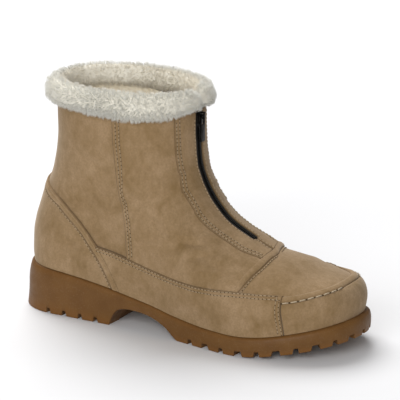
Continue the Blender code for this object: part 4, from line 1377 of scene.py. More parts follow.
def many_piece(name, points, groups, finish, body="boot"):
    """A joined mesh of many small things, from arrays of faces that are already turned outward."""
    mesh = bpy.data.meshes.new(name)
    mesh.vertices.add(len(points))
    mesh.vertices.foreach_set("co", np.asarray(points, np.float32).ravel())
    sizes = np.concatenate([np.full(len(group), group.shape[1]) for group in groups])
    corners = np.concatenate([group.ravel() for group in groups])
    mesh.loops.add(len(corners))
    mesh.loops.foreach_set("vertex_index", corners.astype(np.int32))
    mesh.polygons.add(len(sizes))
    mesh.polygons.foreach_set("loop_start", np.concatenate([[0], np.cumsum(sizes)[:-1]]).astype(np.int32))
    mesh.update(calc_edges=True)
    mesh.shade_smooth()
    mesh.materials.append(finish)
    made = linked(name, mesh)
    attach(made, body)
    return made


def spaced(line, pitch, shift=0.0):
    """Distances along a line at which stitches are centred, and the line's running distance."""
    run = running(on_upper(line))
    count = int((run[-1] - pitch) / pitch)
    return (np.arange(count) + 0.5 + shift) * pitch, run


def stitch_paths(line, thick, pitch, length, rise, shift=0.0):
    """Paths of the stitches in a row over a panel, and the places of their holes."""
    middles, run = spaced(line, pitch, shift)
    offsets = np.array((-0.5, -0.40, 0.0, 0.40, 0.5)) * length
    heights = np.array((-0.30, 0.55, 1.0, 0.55, -0.30)) * rise
    at = middles[:, None] + offsets
    turn = np.interp(at, run, line[:, 0])
    level = np.interp(at, run, line[:, 1])
    paths = upper_points(turn, level) + upper_normals(turn, level) * (SEAM_GAP + thick + heights)[..., None]
    hole = np.append(middles - pitch / 2, middles[-1] + pitch / 2)
    turn = np.interp(hole, run, line[:, 0])
    level = np.interp(hole, run, line[:, 1])
    normals = upper_normals(turn, level)
    return paths, upper_points(turn, level) + normals * (SEAM_GAP + thick + HOLE_LIFT), normals


def hole_faces(places, normals, radius, sides):
    """Small discs of painted shade at needle holes."""
    helper = np.where(np.abs(normals[:, 2:]) < 0.9, (0.0, 0.0, 1.0), (1.0, 0.0, 0.0))
    side = unit(np.cross(normals, helper))
    lift = np.cross(normals, side)
    angle = np.arange(sides) * (2 * math.pi / sides)
    rim = side[:, None] * np.cos(angle)[:, None] + lift[:, None] * np.sin(angle)[:, None]
    points = places[:, None] + rim * radius
    return points.reshape(-1, 3), np.arange(len(places) * sides).reshape(-1, sides)


def stitch_pieces(names, rows, tube, disc, thread, hole):
    """The stitches of all rows and discs of painted shade at the holes between them, as two joined meshes.
    """
    paths, places, normals = (np.concatenate(parts) for parts in zip(*rows))
    points, walls, low, high = tubes(paths, *tube)
    many_piece(names[0], points, (walls, low, high), thread)
    points, faces = hole_faces(places, normals, *disc)
    many_piece(names[1], points, (faces,), hole)


def add_stitches(thread, hole):
    """The rows of fine stitching beside the seams, on both sides of the boot."""
    feather_line = np.stack([np.linspace(-30, 210, 241), np.full(241, 0.004)], axis=-1)
    collar = np.stack([np.linspace(-10, 190, 201), np.full(201, COLLAR_LEVEL)], axis=-1)
    slot_edge = zip_edge()
    rows = []
    for side in ("outer", "inner"):
        band_back = SEAMS["band_back" if side == "outer" else "band_back_inner"]
        band_front = SEAMS["band_front" if side == "outer" else "band_front_inner"]
        lines = (
            (part_of(SEAMS["foxing"], SEAMS["strip_top"], SEAMS["cap"]), FOXING_ROWS, FOXING_THICK),
            (part_of(SEAMS["side"], SEAMS["foxing"], collar), SIDE_ROWS, QUARTER_THICK),
            (part_of(SEAMS["placket"], band_back, collar), PLACKET_ROWS, FACING_THICK),
            (part_of(SEAMS["cap"], feather_line, SEAMS["foxing"]), CAP_ROWS, FOXING_THICK),
            (part_of(band_front, SEAMS["foxing"], FRONT), APRON_ROWS, 0.0),
            (part_of(slot_edge, band_back, collar), SLOT_ROWS, FACING_THICK),
            (part_of(SEAMS["strip_low"], feather_line, BACK), STRIP_ROWS, COUNTER_THICK),
        )
        for line, gaps, thick in lines:
            for k, gap in enumerate(gaps):
                moved = beside(line, gap)
                if side == "inner":
                    moved = across(moved)
                rows.append(stitch_paths(moved, thick, STITCH_PITCH, STITCH_LENGTH, STITCH_RISE, 0.5 * k))
    section = np.array((0.7, 1.0, 1.05, 1.0, 0.7)) * STITCH_THICK / 2
    names = ("seam_stitches", "needle_hole_shades")
    stitch_pieces(names, rows, (section, 5), (HOLE_WIDTH / 2, 7), thread, hole)


def add_hand_stitches(thread, hole):
    """The thick hand stitches along the toe's seam, on both sides, with a disc of painted shade at the hole
    between each.
    """
    moc = part_of(SEAMS["moc"], SEAMS["cap"], FRONT)
    rows = []
    for line, count in ((moc, HAND_COUNT), (across(moc), INNER_HAND_COUNT)):
        path, place, normal = stitch_paths(line, TOE_CAP_THICK, HAND_PITCH, HAND_LENGTH, HAND_RISE)
        rows.append((path[:count], place[:count + 1], normal[:count + 1]))
    section = np.array((0.6, 1.0, 1.0, 1.0, 0.6)) * HAND_THICK / 2
    names = ("hand_stitches", "hand_hole_shades")
    stitch_pieces(names, rows, (section, 8), (HAND_THICK * 0.80, 10), thread, hole)


def sole_outline(margin, flare, ring, outward):
    """Outline round the sole, wider than the feather line by a margin."""
    share = (ring[:, 0] + HEEL_CENTRE) / LAST_LENGTH
    toe = blend(TOE_ZONE, 1.0, share)
    back = blend(BACK_ZONE, 0.0, share)
    width = margin + toe * (TOE_MARGIN - SOLE_MARGIN) + back * (BACK_MARGIN - SOLE_MARGIN)
    width = width + flare * (SIDE_FLARE + back * BACK_FLARE)
    return ring[:, :2] + outward * width[:, None]


def notch_places(outline, run):
    """Distances round the tread at which notches are cut, and their widths."""
    share = (outline[:, 0] + HEEL_CENTRE) / LAST_LENGTH
    half = len(outline) // 2
    outer = slice(half, 2, -1)
    inner = slice(half, len(outline) - 2)
    cuts = []
    for side in (outer, inner):
        for at in HEEL_NOTCHES:
            cuts.append((float(np.interp(at, share[side], run[side])), HEEL_NOTCH))
    first = np.interp(FIRST_NOTCH, share[outer], run[outer])
    pairs = int(first // LUG_PITCH)
    for k in range(-pairs, pairs + 1):
        cuts.append((k * LUG_PITCH % run[-1], WIDE_NOTCH if k % 2 else NARROW_NOTCH))
    return cuts


def foot_sides(x):
    """The upper's outer and inner edges at the feather line, at places along the boot."""
    ring = upper_grid((0.0, 0.02), 720)[0]
    outer = np.interp(x, ring[360::-1, 0], ring[360::-1, 1])
    inner = np.interp(x, ring[360:, 0], ring[360:, 1])
    return outer, inner


def arch_share(share):
    """Height of the arch at shares of the last, as a share of its own height."""
    within = np.clip(share, ARCH["x"][0], ARCH["x"][-1])
    return np.clip(spline(ARCH, "height", "x", within), 0, None)


def closed_read(values, index):
    """Values round a closed line, read between its points."""
    steps = np.arange(len(values) + 1)
    return np.stack([np.interp(index, steps, np.append(values[:, axis], values[0, axis]))
                     for axis in range(values.shape[1])], axis=-1)


def sole_stations(cuts, around):
    """Distances round the tread at which the sole has points: more of them at the notches' sides."""
    stations = list(np.arange(0, around, SOLE_STEP))
    for at, width in cuts:
        for edge in (-width / 2, width / 2):
            stations += [(at + edge + slip) % around for slip in NOTCH_SLIPS]
    return np.unique(np.round(stations, 6))


def notched(stations, cuts, around):
    """1 in the notches and 0 on the lugs, at distances round the tread."""
    inside = np.zeros(len(stations))
    for at, width in cuts:
        away = np.abs((stations - at + around / 2) % around - around / 2)
        inside = np.maximum(inside, np.clip((width / 2 - away) / NOTCH_EDGE + 0.5, 0, 1))
    return inside


def add_sole(rubber):
    """The moulded sole: rounded top edge, side wall, arch, and notches between the lugs."""
    ring = upper_grid((0.0, 0.02), OUTLINE_TURNS)[0]
    along = np.roll(ring, -1, axis=0) - np.roll(ring, 1, axis=0)
    outward = unit(np.stack([-along[:, 1], along[:, 0]], axis=-1))
    tread_line = sole_outline(SOLE_MARGIN, 1.0, ring, outward)
    closed = np.vstack([tread_line, tread_line[:1]])
    run = running(closed)
    cuts = notch_places(closed, run)
    around = run[-1]
    stations = sole_stations(cuts, around)
    index = np.interp(stations, run, np.arange(len(run)))
    ring = closed_read(ring, index)
    outward = closed_read(outward, index)
    in_notch = notched(stations, cuts, around)
    lift = toe_lift(ring[:, 0] + HEEL_CENTRE)
    arch = arch_share((ring[:, 0] + HEEL_CENTRE) / LAST_LENGTH)
    floor_line = lift + arch * ARCH_HEIGHT
    wall_low = floor_line + in_notch * LUG_DEPTH * (arch < 0.02)
    seat = ring[:, 2] - SEAM_GAP
    outlines = [sole_outline(SOLE_MARGIN, 1.0, ring, outward),
                sole_outline(SOLE_MARGIN + TOE_BULGE, WAIST_FLARE, ring, outward),
                sole_outline(SOLE_MARGIN, 0.0, ring, outward)]
    count = len(stations)
    rows = []
    # How much painted light shines through the rubber at each row
    lit_through = []

    def at_height(z, inward):
        up = np.clip((z - lift) / (seat - lift), 0, 1)
        low = np.clip(up / WAIST_HEIGHT, 0, 1)[:, None]
        high = np.clip((up - WAIST_HEIGHT) / (1 - WAIST_HEIGHT), 0, 1)[:, None]
        low = low * (2 - low)
        high = high * high
        flat = outlines[0] * (1 - low) + outlines[1] * low
        flat = flat * (1 - high) + outlines[2] * high
        return np.column_stack([flat - outward * inward, z])

    def keep(row, amount):
        rows.append(row)
        lit_through.append(np.broadcast_to(amount, count))

    lug = 1 - in_notch
    near_floor = (arch < 0.02) * 1.0
    for inward, down in SOLE_TOP_EDGE:
        keep(at_height(seat - down, inward), LIT_THROUGH_TOP)
    top = seat - SOLE_TOP_EDGE[-1][1]
    for share_down in SOLE_WALL_ROWS:
        z = top + (wall_low + 0.0006 - top) * share_down
        keep(at_height(z, 0.0), np.clip((share_down - 0.70) * 1.1, 0, LIT_THROUGH_LUG) * near_floor * lug)
    keep(at_height(wall_low + 0.0006, 0.0), LIT_THROUGH_EDGE[0] * near_floor * lug)
    keep(at_height(wall_low + 0.0002, 0.00018), LIT_THROUGH_EDGE[1] * near_floor * lug)
    for inward in LUG_ROWS:
        keep(np.column_stack([at_height(wall_low, inward)[:, :2], wall_low]), LIT_THROUGH_LUG * near_floor * lug)
    for inward in ARCH_ROWS:
        keep(np.column_stack([at_height(floor_line, inward)[:, :2], floor_line]), LIT_THROUGH_TOP)
    keep(np.column_stack([at_height(floor_line, 0.0152)[:, :2], floor_line + 0.004]), 0.0)
    points = np.array(rows)
    faces = np.array(grid_faces(len(rows), count, closed=True))[:, ::-1]
    made = many_piece("sole_rubber_body", points.reshape(-1, 3), (faces,), rubber)
    add_value(made, "lit_through", np.array(lit_through))
    add_value(made, "edge", np.full(points.shape[:2], 0.01))
    made.data.set_sharp_from_angle(angle=math.radians(40))
    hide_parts("outsole")
    add_tread(rubber)


def add_tread(rubber):
    """The underside between the edge lugs: bars across, with the arch raised over them."""
    shares = np.linspace(*TREAD_ENDS, TREAD_STATIONS)
    x = shares * LAST_LENGTH
    outer_y, inner_y = foot_sides(x - HEEL_CENTRE)
    t = np.linspace(0, 1, TREAD_ACROSS)[None, :]
    low = (outer_y + TREAD_INSET)[:, None]
    high = (inner_y - TREAD_INSET)[:, None]
    middle = (low + high) / 2
    low = np.minimum(low, middle - TREAD_LEAST)
    high = np.maximum(high, middle + TREAD_LEAST)
    y = low + (high - low) * t
    arch = arch_share(shares)
    base = (toe_lift(x) + arch * ARCH_HEIGHT)[:, None]
    wave = np.sin((x[:, None] + BAR_LEAN * np.abs(y)) * (2 * math.pi / LUG_PITCH))
    groove = blend(0.25, 0.45, wave) * (arch < 0.02)[:, None]
    z = base + 0.0002 + groove * LUG_DEPTH * BAR_DEPTH
    points = np.stack([np.broadcast_to(x[:, None] - HEEL_CENTRE, y.shape), y, z], axis=-1)
    faces = np.array(grid_faces(TREAD_STATIONS, TREAD_ACROSS))
    made = many_piece("sole_tread", points.reshape(-1, 3), (faces,), rubber)
    # A little painted light shining through the tread
    add_value(made, "lit_through", np.full(y.shape, 0.08))
    add_value(made, "edge", np.full(y.shape, 0.01))


def lumps(first, second, waves, seed):
    """A soft unevenness over two directions, between about -1 and 1."""
    rng = np.random.default_rng(seed)
    total = 0
    for scale in waves:
        for _ in range(4):
            angle = rng.uniform(0, 2 * math.pi)
            shift = rng.uniform(0, 2 * math.pi)
            total = total + np.sin((first * math.cos(angle) + second * math.sin(angle)) * scale + shift)
    return total / (2.0 * math.sqrt(len(waves)))


def fur_roll(stations, round_count):
    """Points of the fur's smooth roll, closed round its section and rounded at its ends."""
    turn, place, outward = cuff_ring(stations)
    out, height = cuff_section(turn)
    count = out.shape[1]
    at = np.arange(round_count) * count / round_count
    i = np.floor(at).astype(int)
    weights = cubic_weights(at - i)
    out = sum(out[:, (i + k) % count] * w for k, w in zip((-1, 0, 1, 2), weights))
    height = sum(height[:, (i + k) % count] * w for k, w in zip((-1, 0, 1, 2), weights))
    along = running(place)
    around = np.arange(round_count) / round_count * FUR_AROUND
    puff = 1 + FUR_PUFF * lumps(along[:, None], around[None, :], (250, 520), 3)
    out = out * FUR_BODY * puff
    from_zip = np.minimum(turn, 360 - turn)[:, None]
    lifted = HEM_LIFT + (1 - HEM_LIFT) * np.clip(from_zip / HEM_TURN, 0, 1)
    from_end = np.minimum(np.arange(stations), stations - 1 - np.arange(stations))[:, None]
    end_size = 0.5 + 0.5 * rounded(from_end, END_STATIONS)
    height = np.where(height > 0, height, height * lifted) * FUR_BODY * (1 + 0.5 * (puff - 1))
    points = place[:, None] + outward[:, None] * (out * end_size)[..., None]
    points[..., 2] = COLLAR_HEIGHT + height * end_size
    return points


def fur_normals(body):
    """Outward directions over the fur's roll."""
    upward = np.gradient(body, axis=0)
    round_way = np.roll(body, -1, axis=1) - np.roll(body, 1, axis=1)
    normal = unit(np.cross(upward, round_way))
    middle = body.mean(axis=1, keepdims=True)
    return normal * np.sign(np.sum(normal * (body - middle), axis=-1, keepdims=True).mean())


def rooted(rng, body, normal, number):
    """Random places on the fur's roll, closer together beside the zip, and the outward ways there."""
    rows, count = body.shape[:2]
    share = rng.uniform(0, 1, number)
    share = share - FUR_DENSER * np.sin(2 * math.pi * share) / (2 * math.pi)
    i = share * (rows - 1.001)
    j = rng.uniform(0, count, number)
    a = np.floor(i).astype(int)
    b = np.floor(j).astype(int)
    s = (i - a)[:, None]
    t = (j - b)[:, None]
    found = []
    for grid in (body, normal):
        low = grid[a, b % count] * (1 - t) + grid[a, (b + 1) % count] * t
        high = grid[a + 1, b % count] * (1 - t) + grid[a + 1, (b + 1) % count] * t
        found.append(low * (1 - s) + high * s)
    return found[0], unit(found[1])


def add_fur_body(body, fur):
    """The soft body under the fur's locks."""
    rows, count = body.shape[:2]
    faces = grid_faces(rows, count, closed=True)
    faces.append(tuple(range(count)))
    faces.append(tuple(range(rows * count - count, rows * count)))
    made = mesh_piece("fur_body", body, faces, fur)
    add_value(made, "tip", np.full(rows * count, 0.55))
    # The body under the locks takes part of the lighter warm tone
    add_value(made, "warmth_and_light", np.full(rows * count, 0.4))
    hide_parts("fur_cuff")


def add_fur(fur):
    """The fur collar: a soft body under many locks of fine hair."""
    body = fur_roll(260, 44)
    add_fur_body(body, fur)
    rng = np.random.default_rng(11)
    normal = fur_normals(body)
    lock_root, lock_normal = rooted(rng, body, normal, FUR_LOCKS)
    drop = np.clip(lock_normal[:, 2:] * -0.5 + 0.55, 0.15, 1.0)
    stray = rng.normal(0, LOCK_STRAY, lock_root.shape)
    lock_way = unit(lock_normal + stray + np.array((0, 0, -1.0)) * drop * 0.7)
    lock_length = rng.uniform(*LOCK_LENGTHS, (FUR_LOCKS, 1))
    tree = KDTree(FUR_LOCKS)
    for k, place in enumerate(lock_root):
        tree.insert(place, k)
    tree.balance()
    for part in range(FUR_PIECES):
        root, out = rooted(rng, body, normal, FUR_STRANDS)
        away = root[:, :2] - body[..., :2].mean(axis=(0, 1))
        inside = np.clip(-2 * np.sum(out[:, :2] * away, axis=-1) / np.linalg.norm(away, axis=-1), 0, 1)
        lock = np.array([tree.find(place)[1] for place in root])
        way = out * 0.7 + lock_way[lock] * 0.8 + rng.normal(0, STRAND_STRAY, root.shape)
        from_zip = np.clip((body[..., 0].max() - root[:, :1]) / END_REACH, 0, 1)
        length = lock_length[lock] * rng.uniform(0.65, 1.1, (len(root), 1)) * (0.88 + 0.12 * from_zip)
        length = length * (1 - INSIDE_SHORTER * inside[:, None])
        beside_slit = np.clip(1 - np.abs(root[:, 1:2]) / SLIT_REACH, 0, 1) * (from_zip < 1)
        way = unit(way - np.sign(root[:, 1:2]) * beside_slit * np.array((0, SLIT_LEAN, 0)))
        free_tip = root + way * length
        lock_tip = lock_root[lock] + lock_way[lock] * lock_length[lock]
        hold = LOCK_HOLD * (1 - beside_slit)
        tip = free_tip * (1 - hold) + lock_tip * hold
        bend = root + out * length * 0.55
        t = np.linspace(0, 1, 3)[None, :, None]
        root = root - out * 0.0004
        paths = root[:, None] * (1 - t) ** 2 + bend[:, None] * 2 * t * (1 - t) + tip[:, None] * t ** 2
        paths = paths + rng.normal(0, STRAND_CURL, (len(root), 3, 3)) * t
        points, walls, _, high = tubes(paths, np.array((1.0, 0.8, 0.25)) * FUR_THICK / 2)
        made = many_piece("fur_locks_%d" % (part + 1), points, (walls, high), fur)
        tone = np.broadcast_to(np.array((0.55, 0.85, 1.0))[None, :, None], (len(root), 3, 3))
        add_value(made, "tip", tone)
        # Inside the collar the strands turn to the lighter warm tone: partly beige fur, partly painted
        # light in the shaded mouth
        warmth_and_light = np.clip(rng.normal(0.12, 0.14, (len(root), 1, 1)) + 0.6 * inside[:, None, None], 0, 1)
        add_value(made, "warmth_and_light", np.broadcast_to(warmth_and_light, (len(root), 3, 3)))


def add_lining(fleece):
    """The fleece that lines the upper, seen inside the mouth."""
    turns = LINING_TURNS
    rows = LINING_ROWS
    turn, level = np.meshgrid(np.arange(turns) * 360 / turns, np.linspace(0.03, 0.985, rows))
    curl = lumps(turn * 0.7, level * 200, (0.6, 1.3, 2.4), 5) * 0.0005
    depth = WALL + 0.0016 + curl
    skin = upper_points(turn, level) - upper_normals(turn, level) * depth[..., None]
    faces = grid_faces(rows, turns, closed=True)
    mesh_piece("fleece_lining", skin, faces, fleece)


def add_footbed(fleece):
    """The fleece-covered footbed."""
    shares = np.linspace(0.02, 0.95, 150)
    x = shares * LAST_LENGTH - HEEL_CENTRE
    outer_y, inner_y = foot_sides(x)
    outer_y = outer_y + WALL + INSOLE_GAP
    inner_y = inner_y - WALL - INSOLE_GAP
    t = np.linspace(0, 1, 46)[None, :]
    y = outer_y[:, None] * (1 - t) + inner_y[:, None] * t
    x = np.broadcast_to(x[:, None], y.shape)
    z = feather(x + HEEL_CENTRE) + INSOLE_THICK + 0.0004 * lumps(x * 1000, y * 1000, (0.5, 1.1), 9)
    top = np.stack([x, y, z], axis=-1)
    low = top.copy()
    low[..., 2] = feather(x + HEEL_CENTRE) + 0.0002
    rows, count = y.shape
    points = np.concatenate([top.reshape(-1, 3), low.reshape(-1, 3)])
    faces = grid_faces(rows, count)
    faces += grid_faces(rows, count, start=rows * count)
    rim = rim_of(rows, count)
    faces += wall_faces(rim, [rows * count + k for k in rim])
    made = mesh_piece("footbed", points, faces, fleece)
    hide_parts("insole")


def front_frame(distance_up):
    """Places on the boot's front line at distances up from the zip's end, with outward and upward ways."""
    run = running(FRONT_LINE)
    level = np.linspace(0, 1, len(FRONT_LINE))
    start = np.interp(-ZIP_END_X, -FRONT_LINE[:, 0], run)
    at = np.interp(start + distance_up, run, level)
    place = upper_points(0 * at, at)
    ahead = upper_points(0 * at, at + 0.003) - upper_points(0 * at, at - 0.003)
    upward = unit(ahead)
    outward = np.stack([upward[..., 2], 0 * upward[..., 2], -upward[..., 0]], axis=-1)
    return place, outward, upward, run[-1] - start


def add_zip_chain(tape, teeth):
    """Two woven tapes under the slot's edges and the row of teeth that joins them."""
    length = front_frame(np.zeros(1))[3]
    up = np.linspace(0.0004, length - CHAIN_DROP, 150)
    place, outward, upward, _ = front_frame(up)
    y = np.array((-1.0, -0.85, -0.5, -0.12, 0.0, 0.12, 0.5, 0.85, 1.0)) * ZIP_SLOT / 2
    rise = np.array((0.2, 1.2, 1.4, 1.5, 1.4, 1.5, 1.4, 1.2, 0.2)) * 0.001
    points = place[:, None] + outward[:, None] * rise[:, None] + np.stack([0 * y, y, 0 * y], axis=-1)
    faces = grid_faces(len(up), len(y))
    made = mesh_piece("zip_tape_cloth", points, faces, tape)
    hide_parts("zip_tape", "zip_chain")
    top = length - SLIDER_DROP - SLIDER_LENGTH * 0.8
    middles = np.arange(0.0012, top, TOOTH_PITCH)
    place, outward, upward, _ = front_frame(middles)
    side = np.where(np.arange(len(middles)) % 2, 1.0, -1.0)
    y = np.array((-1.15, -0.9, 0.0, 0.75, 0.95)) * CHAIN_WIDTH / 3
    rise = np.array((1.3, 1.65, 1.75, 1.7, 1.4)) * 0.001
    paths = place[:, None] + outward[:, None] * rise[:, None]
    paths[..., 1] = side[:, None] * y
    points, walls, low, high = tubes(paths, np.array((0.8, 1.0, 1.0, 1.0, 0.8)) * TOOTH_PITCH * 0.46, 6)
    many_piece("zip_teeth", points, (walls, low, high), teeth)


def soft_box(work, centre, size, bevel):
    """A box with rounded edges added to a mesh in work."""
    corners = bmesh.ops.create_cube(work, size=1.0)["verts"]
    for corner in corners:
        corner.co = Vector([corner.co[axis] * size[axis] + centre[axis] for axis in range(3)])
    edges = {edge for corner in corners for edge in corner.link_edges}
    bmesh.ops.bevel(work, geom=list(edges), offset=bevel, segments=3, profile=0.6, affect="EDGES")


def hardware_piece(name, boxes, metal, body, node_name):
    """A small metal fitting of rounded bars and plates."""
    mesh = bpy.data.meshes.new(name)
    work = bmesh.new()
    for centre, size, bevel in boxes:
        soft_box(work, centre, size, bevel)
    work.to_mesh(mesh)
    work.free()
    mesh.shade_smooth()
    mesh.set_sharp_from_angle(angle=math.radians(50))
    mesh.materials.append(metal)
    made = linked(name, mesh)
    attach(made, body)
    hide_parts(node_name)


def add_bare_upper(suede):
    """The hollow upper that the panels lie on: bare over the back of the shaft and the vamp."""
    turns = BARE_TURNS
    rows = BARE_ROWS
    turn, level = np.meshgrid(np.arange(turns) * 360 / turns, np.linspace(0, 1, rows))
    points = upper_points(turn, level)
    normals = upper_normals(turn, level)
    inside = points - normals * WALL
    faces = grid_faces(rows, turns, closed=True)
    faces += grid_faces(rows, turns, start=rows * turns, closed=True)
    top = (rows - 1) * turns
    for j in range(turns):
        k = (j + 1) % turns
        faces.append((top + j, top + k, rows * turns + top + k, rows * turns + top + j))
        faces.append((j, k, rows * turns + k, rows * turns + j))
    vertices = np.vstack([points.reshape(-1, 3), inside.reshape(-1, 3)])
    kept = [face for face in faces if not in_slot(vertices[list(face)])]
    made = mesh_piece("upper_suede", vertices, kept, suede)
    add_value(made, "edge", np.full(len(vertices), 0.01))
    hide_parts("upper")


def in_slot(corners):
    """Whether a face lies in the slot for the zip."""
    middle = corners.mean(axis=0)
    front = np.interp(middle[2], FRONT_LINE[:, 2], FRONT_LINE[:, 0])
    return abs(middle[1]) < ZIP_SLOT / 2 and abs(middle[0] - front) < 0.006 and middle[0] < ZIP_END_X


def zip_edge(count=120):
    """The outer edge of the zip's slot from the vamp band up: on the middle line below the zip's end."""
    level = np.linspace(0.30, 1.0, count)
    front = upper_points(0 * level, level)
    above = np.clip((ZIP_END_X - front[:, 0]) / SLOT_ROUND, 0, 1)
    half = ZIP_SLOT / 2 * np.sqrt(1 - (1 - above) ** 2)
    turn = np.zeros(count)
    trial = np.linspace(0, 30, 240)
    for k in range(count):
        width = -upper_points(trial, np.full(240, level[k]))[:, 1]
        turn[k] = np.interp(half[k], width, trial)
    return np.stack([turn, level], axis=-1)


def both_sides(name, foxing_top):
    """A line of the vamp band over the foot from one foxing to the other."""
    outer = part_of(SEAMS[name], foxing_top, FRONT)
    inner = part_of(SEAMS[name + "_inner"], foxing_top, FRONT)
    if outer[0, 0] < outer[-1, 0]:
        outer = outer[::-1]
    if inner[0, 0] > inner[-1, 0]:
        inner = inner[::-1]
    return np.vstack([outer, across(inner)[1:]])


def piping(places, points, edge):
    """The groove that parts the heel strip's narrow upper piping from its broad lower one."""
    away = nearest(points, on_upper(edge))
    flatter = 0.0009 * np.exp(-((places[..., 0] - 180) / 22) ** 2)
    return -0.0008 * np.exp(-((away - PIPING_WIDTH) / 0.0006) ** 2) - flatter


def add_panels(suede):
    """Every panel of the upper, on both sides."""
    feather_line = np.stack([np.linspace(-30, 210, 241), np.zeros(241)], axis=-1)
    collar = np.stack([np.linspace(-10, 190, 201), np.full(201, COLLAR_LEVEL)], axis=-1)
    slot_edge = zip_edge()

    foxing_top = SEAMS["foxing"]
    side_seam = SEAMS["side"]
    placket = SEAMS["placket"]
    cap_seam = SEAMS["cap"]
    moc = SEAMS["moc"]
    crease = SEAMS["crease"]
    strip_top = SEAMS["strip_top"]
    strip_low = SEAMS["strip_low"]

    for side, turned, band_back in (("outer", np.array, SEAMS["band_back"]),
                                    ("inner", across, SEAMS["band_back_inner"])):
        low = part_of(feather_line, cap_seam, strip_top)[::-1]
        high = part_of(foxing_top, strip_top, cap_seam)
        start = part_of(strip_top, feather_line, foxing_top)
        end = part_of(cap_seam, feather_line, foxing_top)
        places = filled(turned(low), turned(end), turned(high), turned(start))
        panel("foxing_suede_" + side, places, [turned(high), turned(end)], FOXING_THICK, suede,
              "foxing_" + side, rows=[(turned(high), FIRST_ROW), (turned(high), SECOND_ROW)])

        low = part_of(foxing_top, side_seam, band_back)
        start = part_of(side_seam, foxing_top, collar)
        front = np.vstack([part_of(band_back, foxing_top, placket), part_of(placket, band_back, collar)])
        high = part_of(collar, placket, side_seam)[::-1]
        places = filled(turned(low), turned(front), turned(high), turned(start))
        panel("quarter_suede_" + side, places, [turned(start)], QUARTER_THICK, suede,
              "quarter_" + side, rim=0.7,
              rows=[(turned(start), SIDE_FIRST_ROW), (turned(start), SIDE_SECOND_ROW)])

        low = part_of(band_back, placket, FRONT)
        start = part_of(placket, band_back, collar)
        high = part_of(collar, slot_edge, placket)[::-1]
        middle = part_of(slot_edge, band_back, collar)
        places = filled(turned(low), turned(middle), turned(high), turned(start))
        panel("zip_facing_suede_" + side, places, [turned(start), turned(middle)], FACING_THICK, suede,
              "zip_facing", rim=0.4,
              rows=[(turned(start), FIRST_ROW), (turned(start), SECOND_ROW)])

    top = mirrored(part_of(strip_low, feather_line, BACK), 180)
    bottom = np.stack([np.linspace(top[0, 0], top[-1, 0], 200), np.zeros(200)], axis=-1)
    panel("heel_counter_suede", banded(bottom, top), [top], COUNTER_THICK, suede, "heel_counter")

    high = mirrored(part_of(strip_top, feather_line, BACK), 180)
    panel("heel_strip_suede", banded(top, high, 0.0007), [top, high], STRIP_THICK, suede, "heel_strip",
          shape=lambda places, points: piping(places, points, high), rim=0.05, fainter_edge=0.0004)

    start = part_of(cap_seam, feather_line, moc)
    high = mirrored(part_of(moc, cap_seam, FRONT), 0)
    low = np.stack([np.linspace(start[0, 0], -start[0, 0], 200), np.zeros(200)], axis=-1)
    places = filled(low, across(start), high, start)
    panel("toe_cap_suede", places, [start, across(start), high], TOE_CAP_THICK, suede, "toe_cap",
          fainter_edge=0.0007)

    start = part_of(cap_seam, moc, crease)
    top = mirrored(part_of(crease, cap_seam, FRONT), 0)
    places = filled(high, across(start), top, start)
    panel("toe_rim_suede", places, [high, top], TOE_RIM_THICK, suede, "toe_rim", roll=0.0030,
          rim=0.1, fainter_edge=0.0006)

    low = both_sides("band_back", foxing_top)
    high = both_sides("band_front", foxing_top)
    panel("vamp_band_suede", banded(low, high, 0.0009), [high], BAND_THICK * 0.85, suede, "vamp_band",
          roll=0.0034, rim=-0.02, rows=[(low, 0.0)], fainter_edge=0.0007)


def cuff_ring(count):
    """Places and level outward directions round the collar, from one side of the zip to the other."""
    turn = np.linspace(CUFF_SLIT_DEG, 360 - CUFF_SLIT_DEG, count)
    level = np.ones(count)
    place = upper_points(turn, level)
    outward = upper_normals(turn, level)
    outward[:, 2] = 0
    return turn, place, unit(outward)


def cuff_section(turn):
    """The fur's section at turns round the collar: distance from the wall and height, round the roll."""
    hem = spline(CUFF_HEM, "drop", "turn", np.minimum(turn, 360 - turn))[:, None]
    out = np.concatenate([CUFF_OUTSIDE["out"] * CUFF_BULGE, -CUFF_INNER["out"] * CUFF_INSIDE])
    up = np.concatenate([CUFF_OUTSIDE["up"], CUFF_INNER["up"]])[None, :]
    below = np.where(np.arange(len(out)) < len(CUFF_OUTSIDE["up"]), hem, 1.0)
    height = np.where(up > 0, up * CUFF_RISE, up * CUFF_DROP * below)
    return np.broadcast_to(out, height.shape), height


def aim(made, place, target):
    """Place an object and turn it to look at a target."""
    made.location = place
    made.rotation_mode = "QUATERNION"
    made.rotation_quaternion = (Vector(target) - Vector(place)).to_track_quat("-Z", "Y")


def add_camera():
    """The camera at the photograph's angle to the boot."""
    azimuth = math.radians(CAMERA_AZIMUTH)
    elevation = math.radians(CAMERA_ELEVATION)
    back = Vector((math.sin(azimuth) * math.cos(elevation), -math.cos(azimuth) * math.cos(elevation),
                   math.sin(elevation)))
    right = Vector((math.cos(azimuth), math.sin(azimuth), 0))
    up = right.cross(back) * -1
    target = Vector(CAMERA_TARGET) + up * CAMERA_LIFT
    data = bpy.data.cameras.new("camera")
    data.lens = CAMERA_LENS
    data.sensor_width = 36
    data.clip_start = 0.1
    data.clip_end = 50
    made = linked("camera", data)
    aim(made, target + back * CAMERA_DISTANCE, target)
    bpy.context.scene.camera = made


def add_light(name, place, target, size, power):
    """A soft rectangular light."""
    data = bpy.data.lights.new(name, "AREA")
    data.shape = "RECTANGLE"
    data.size, data.size_y = size
    data.energy = power
    made = linked(name, data)
    aim(made, place, target)


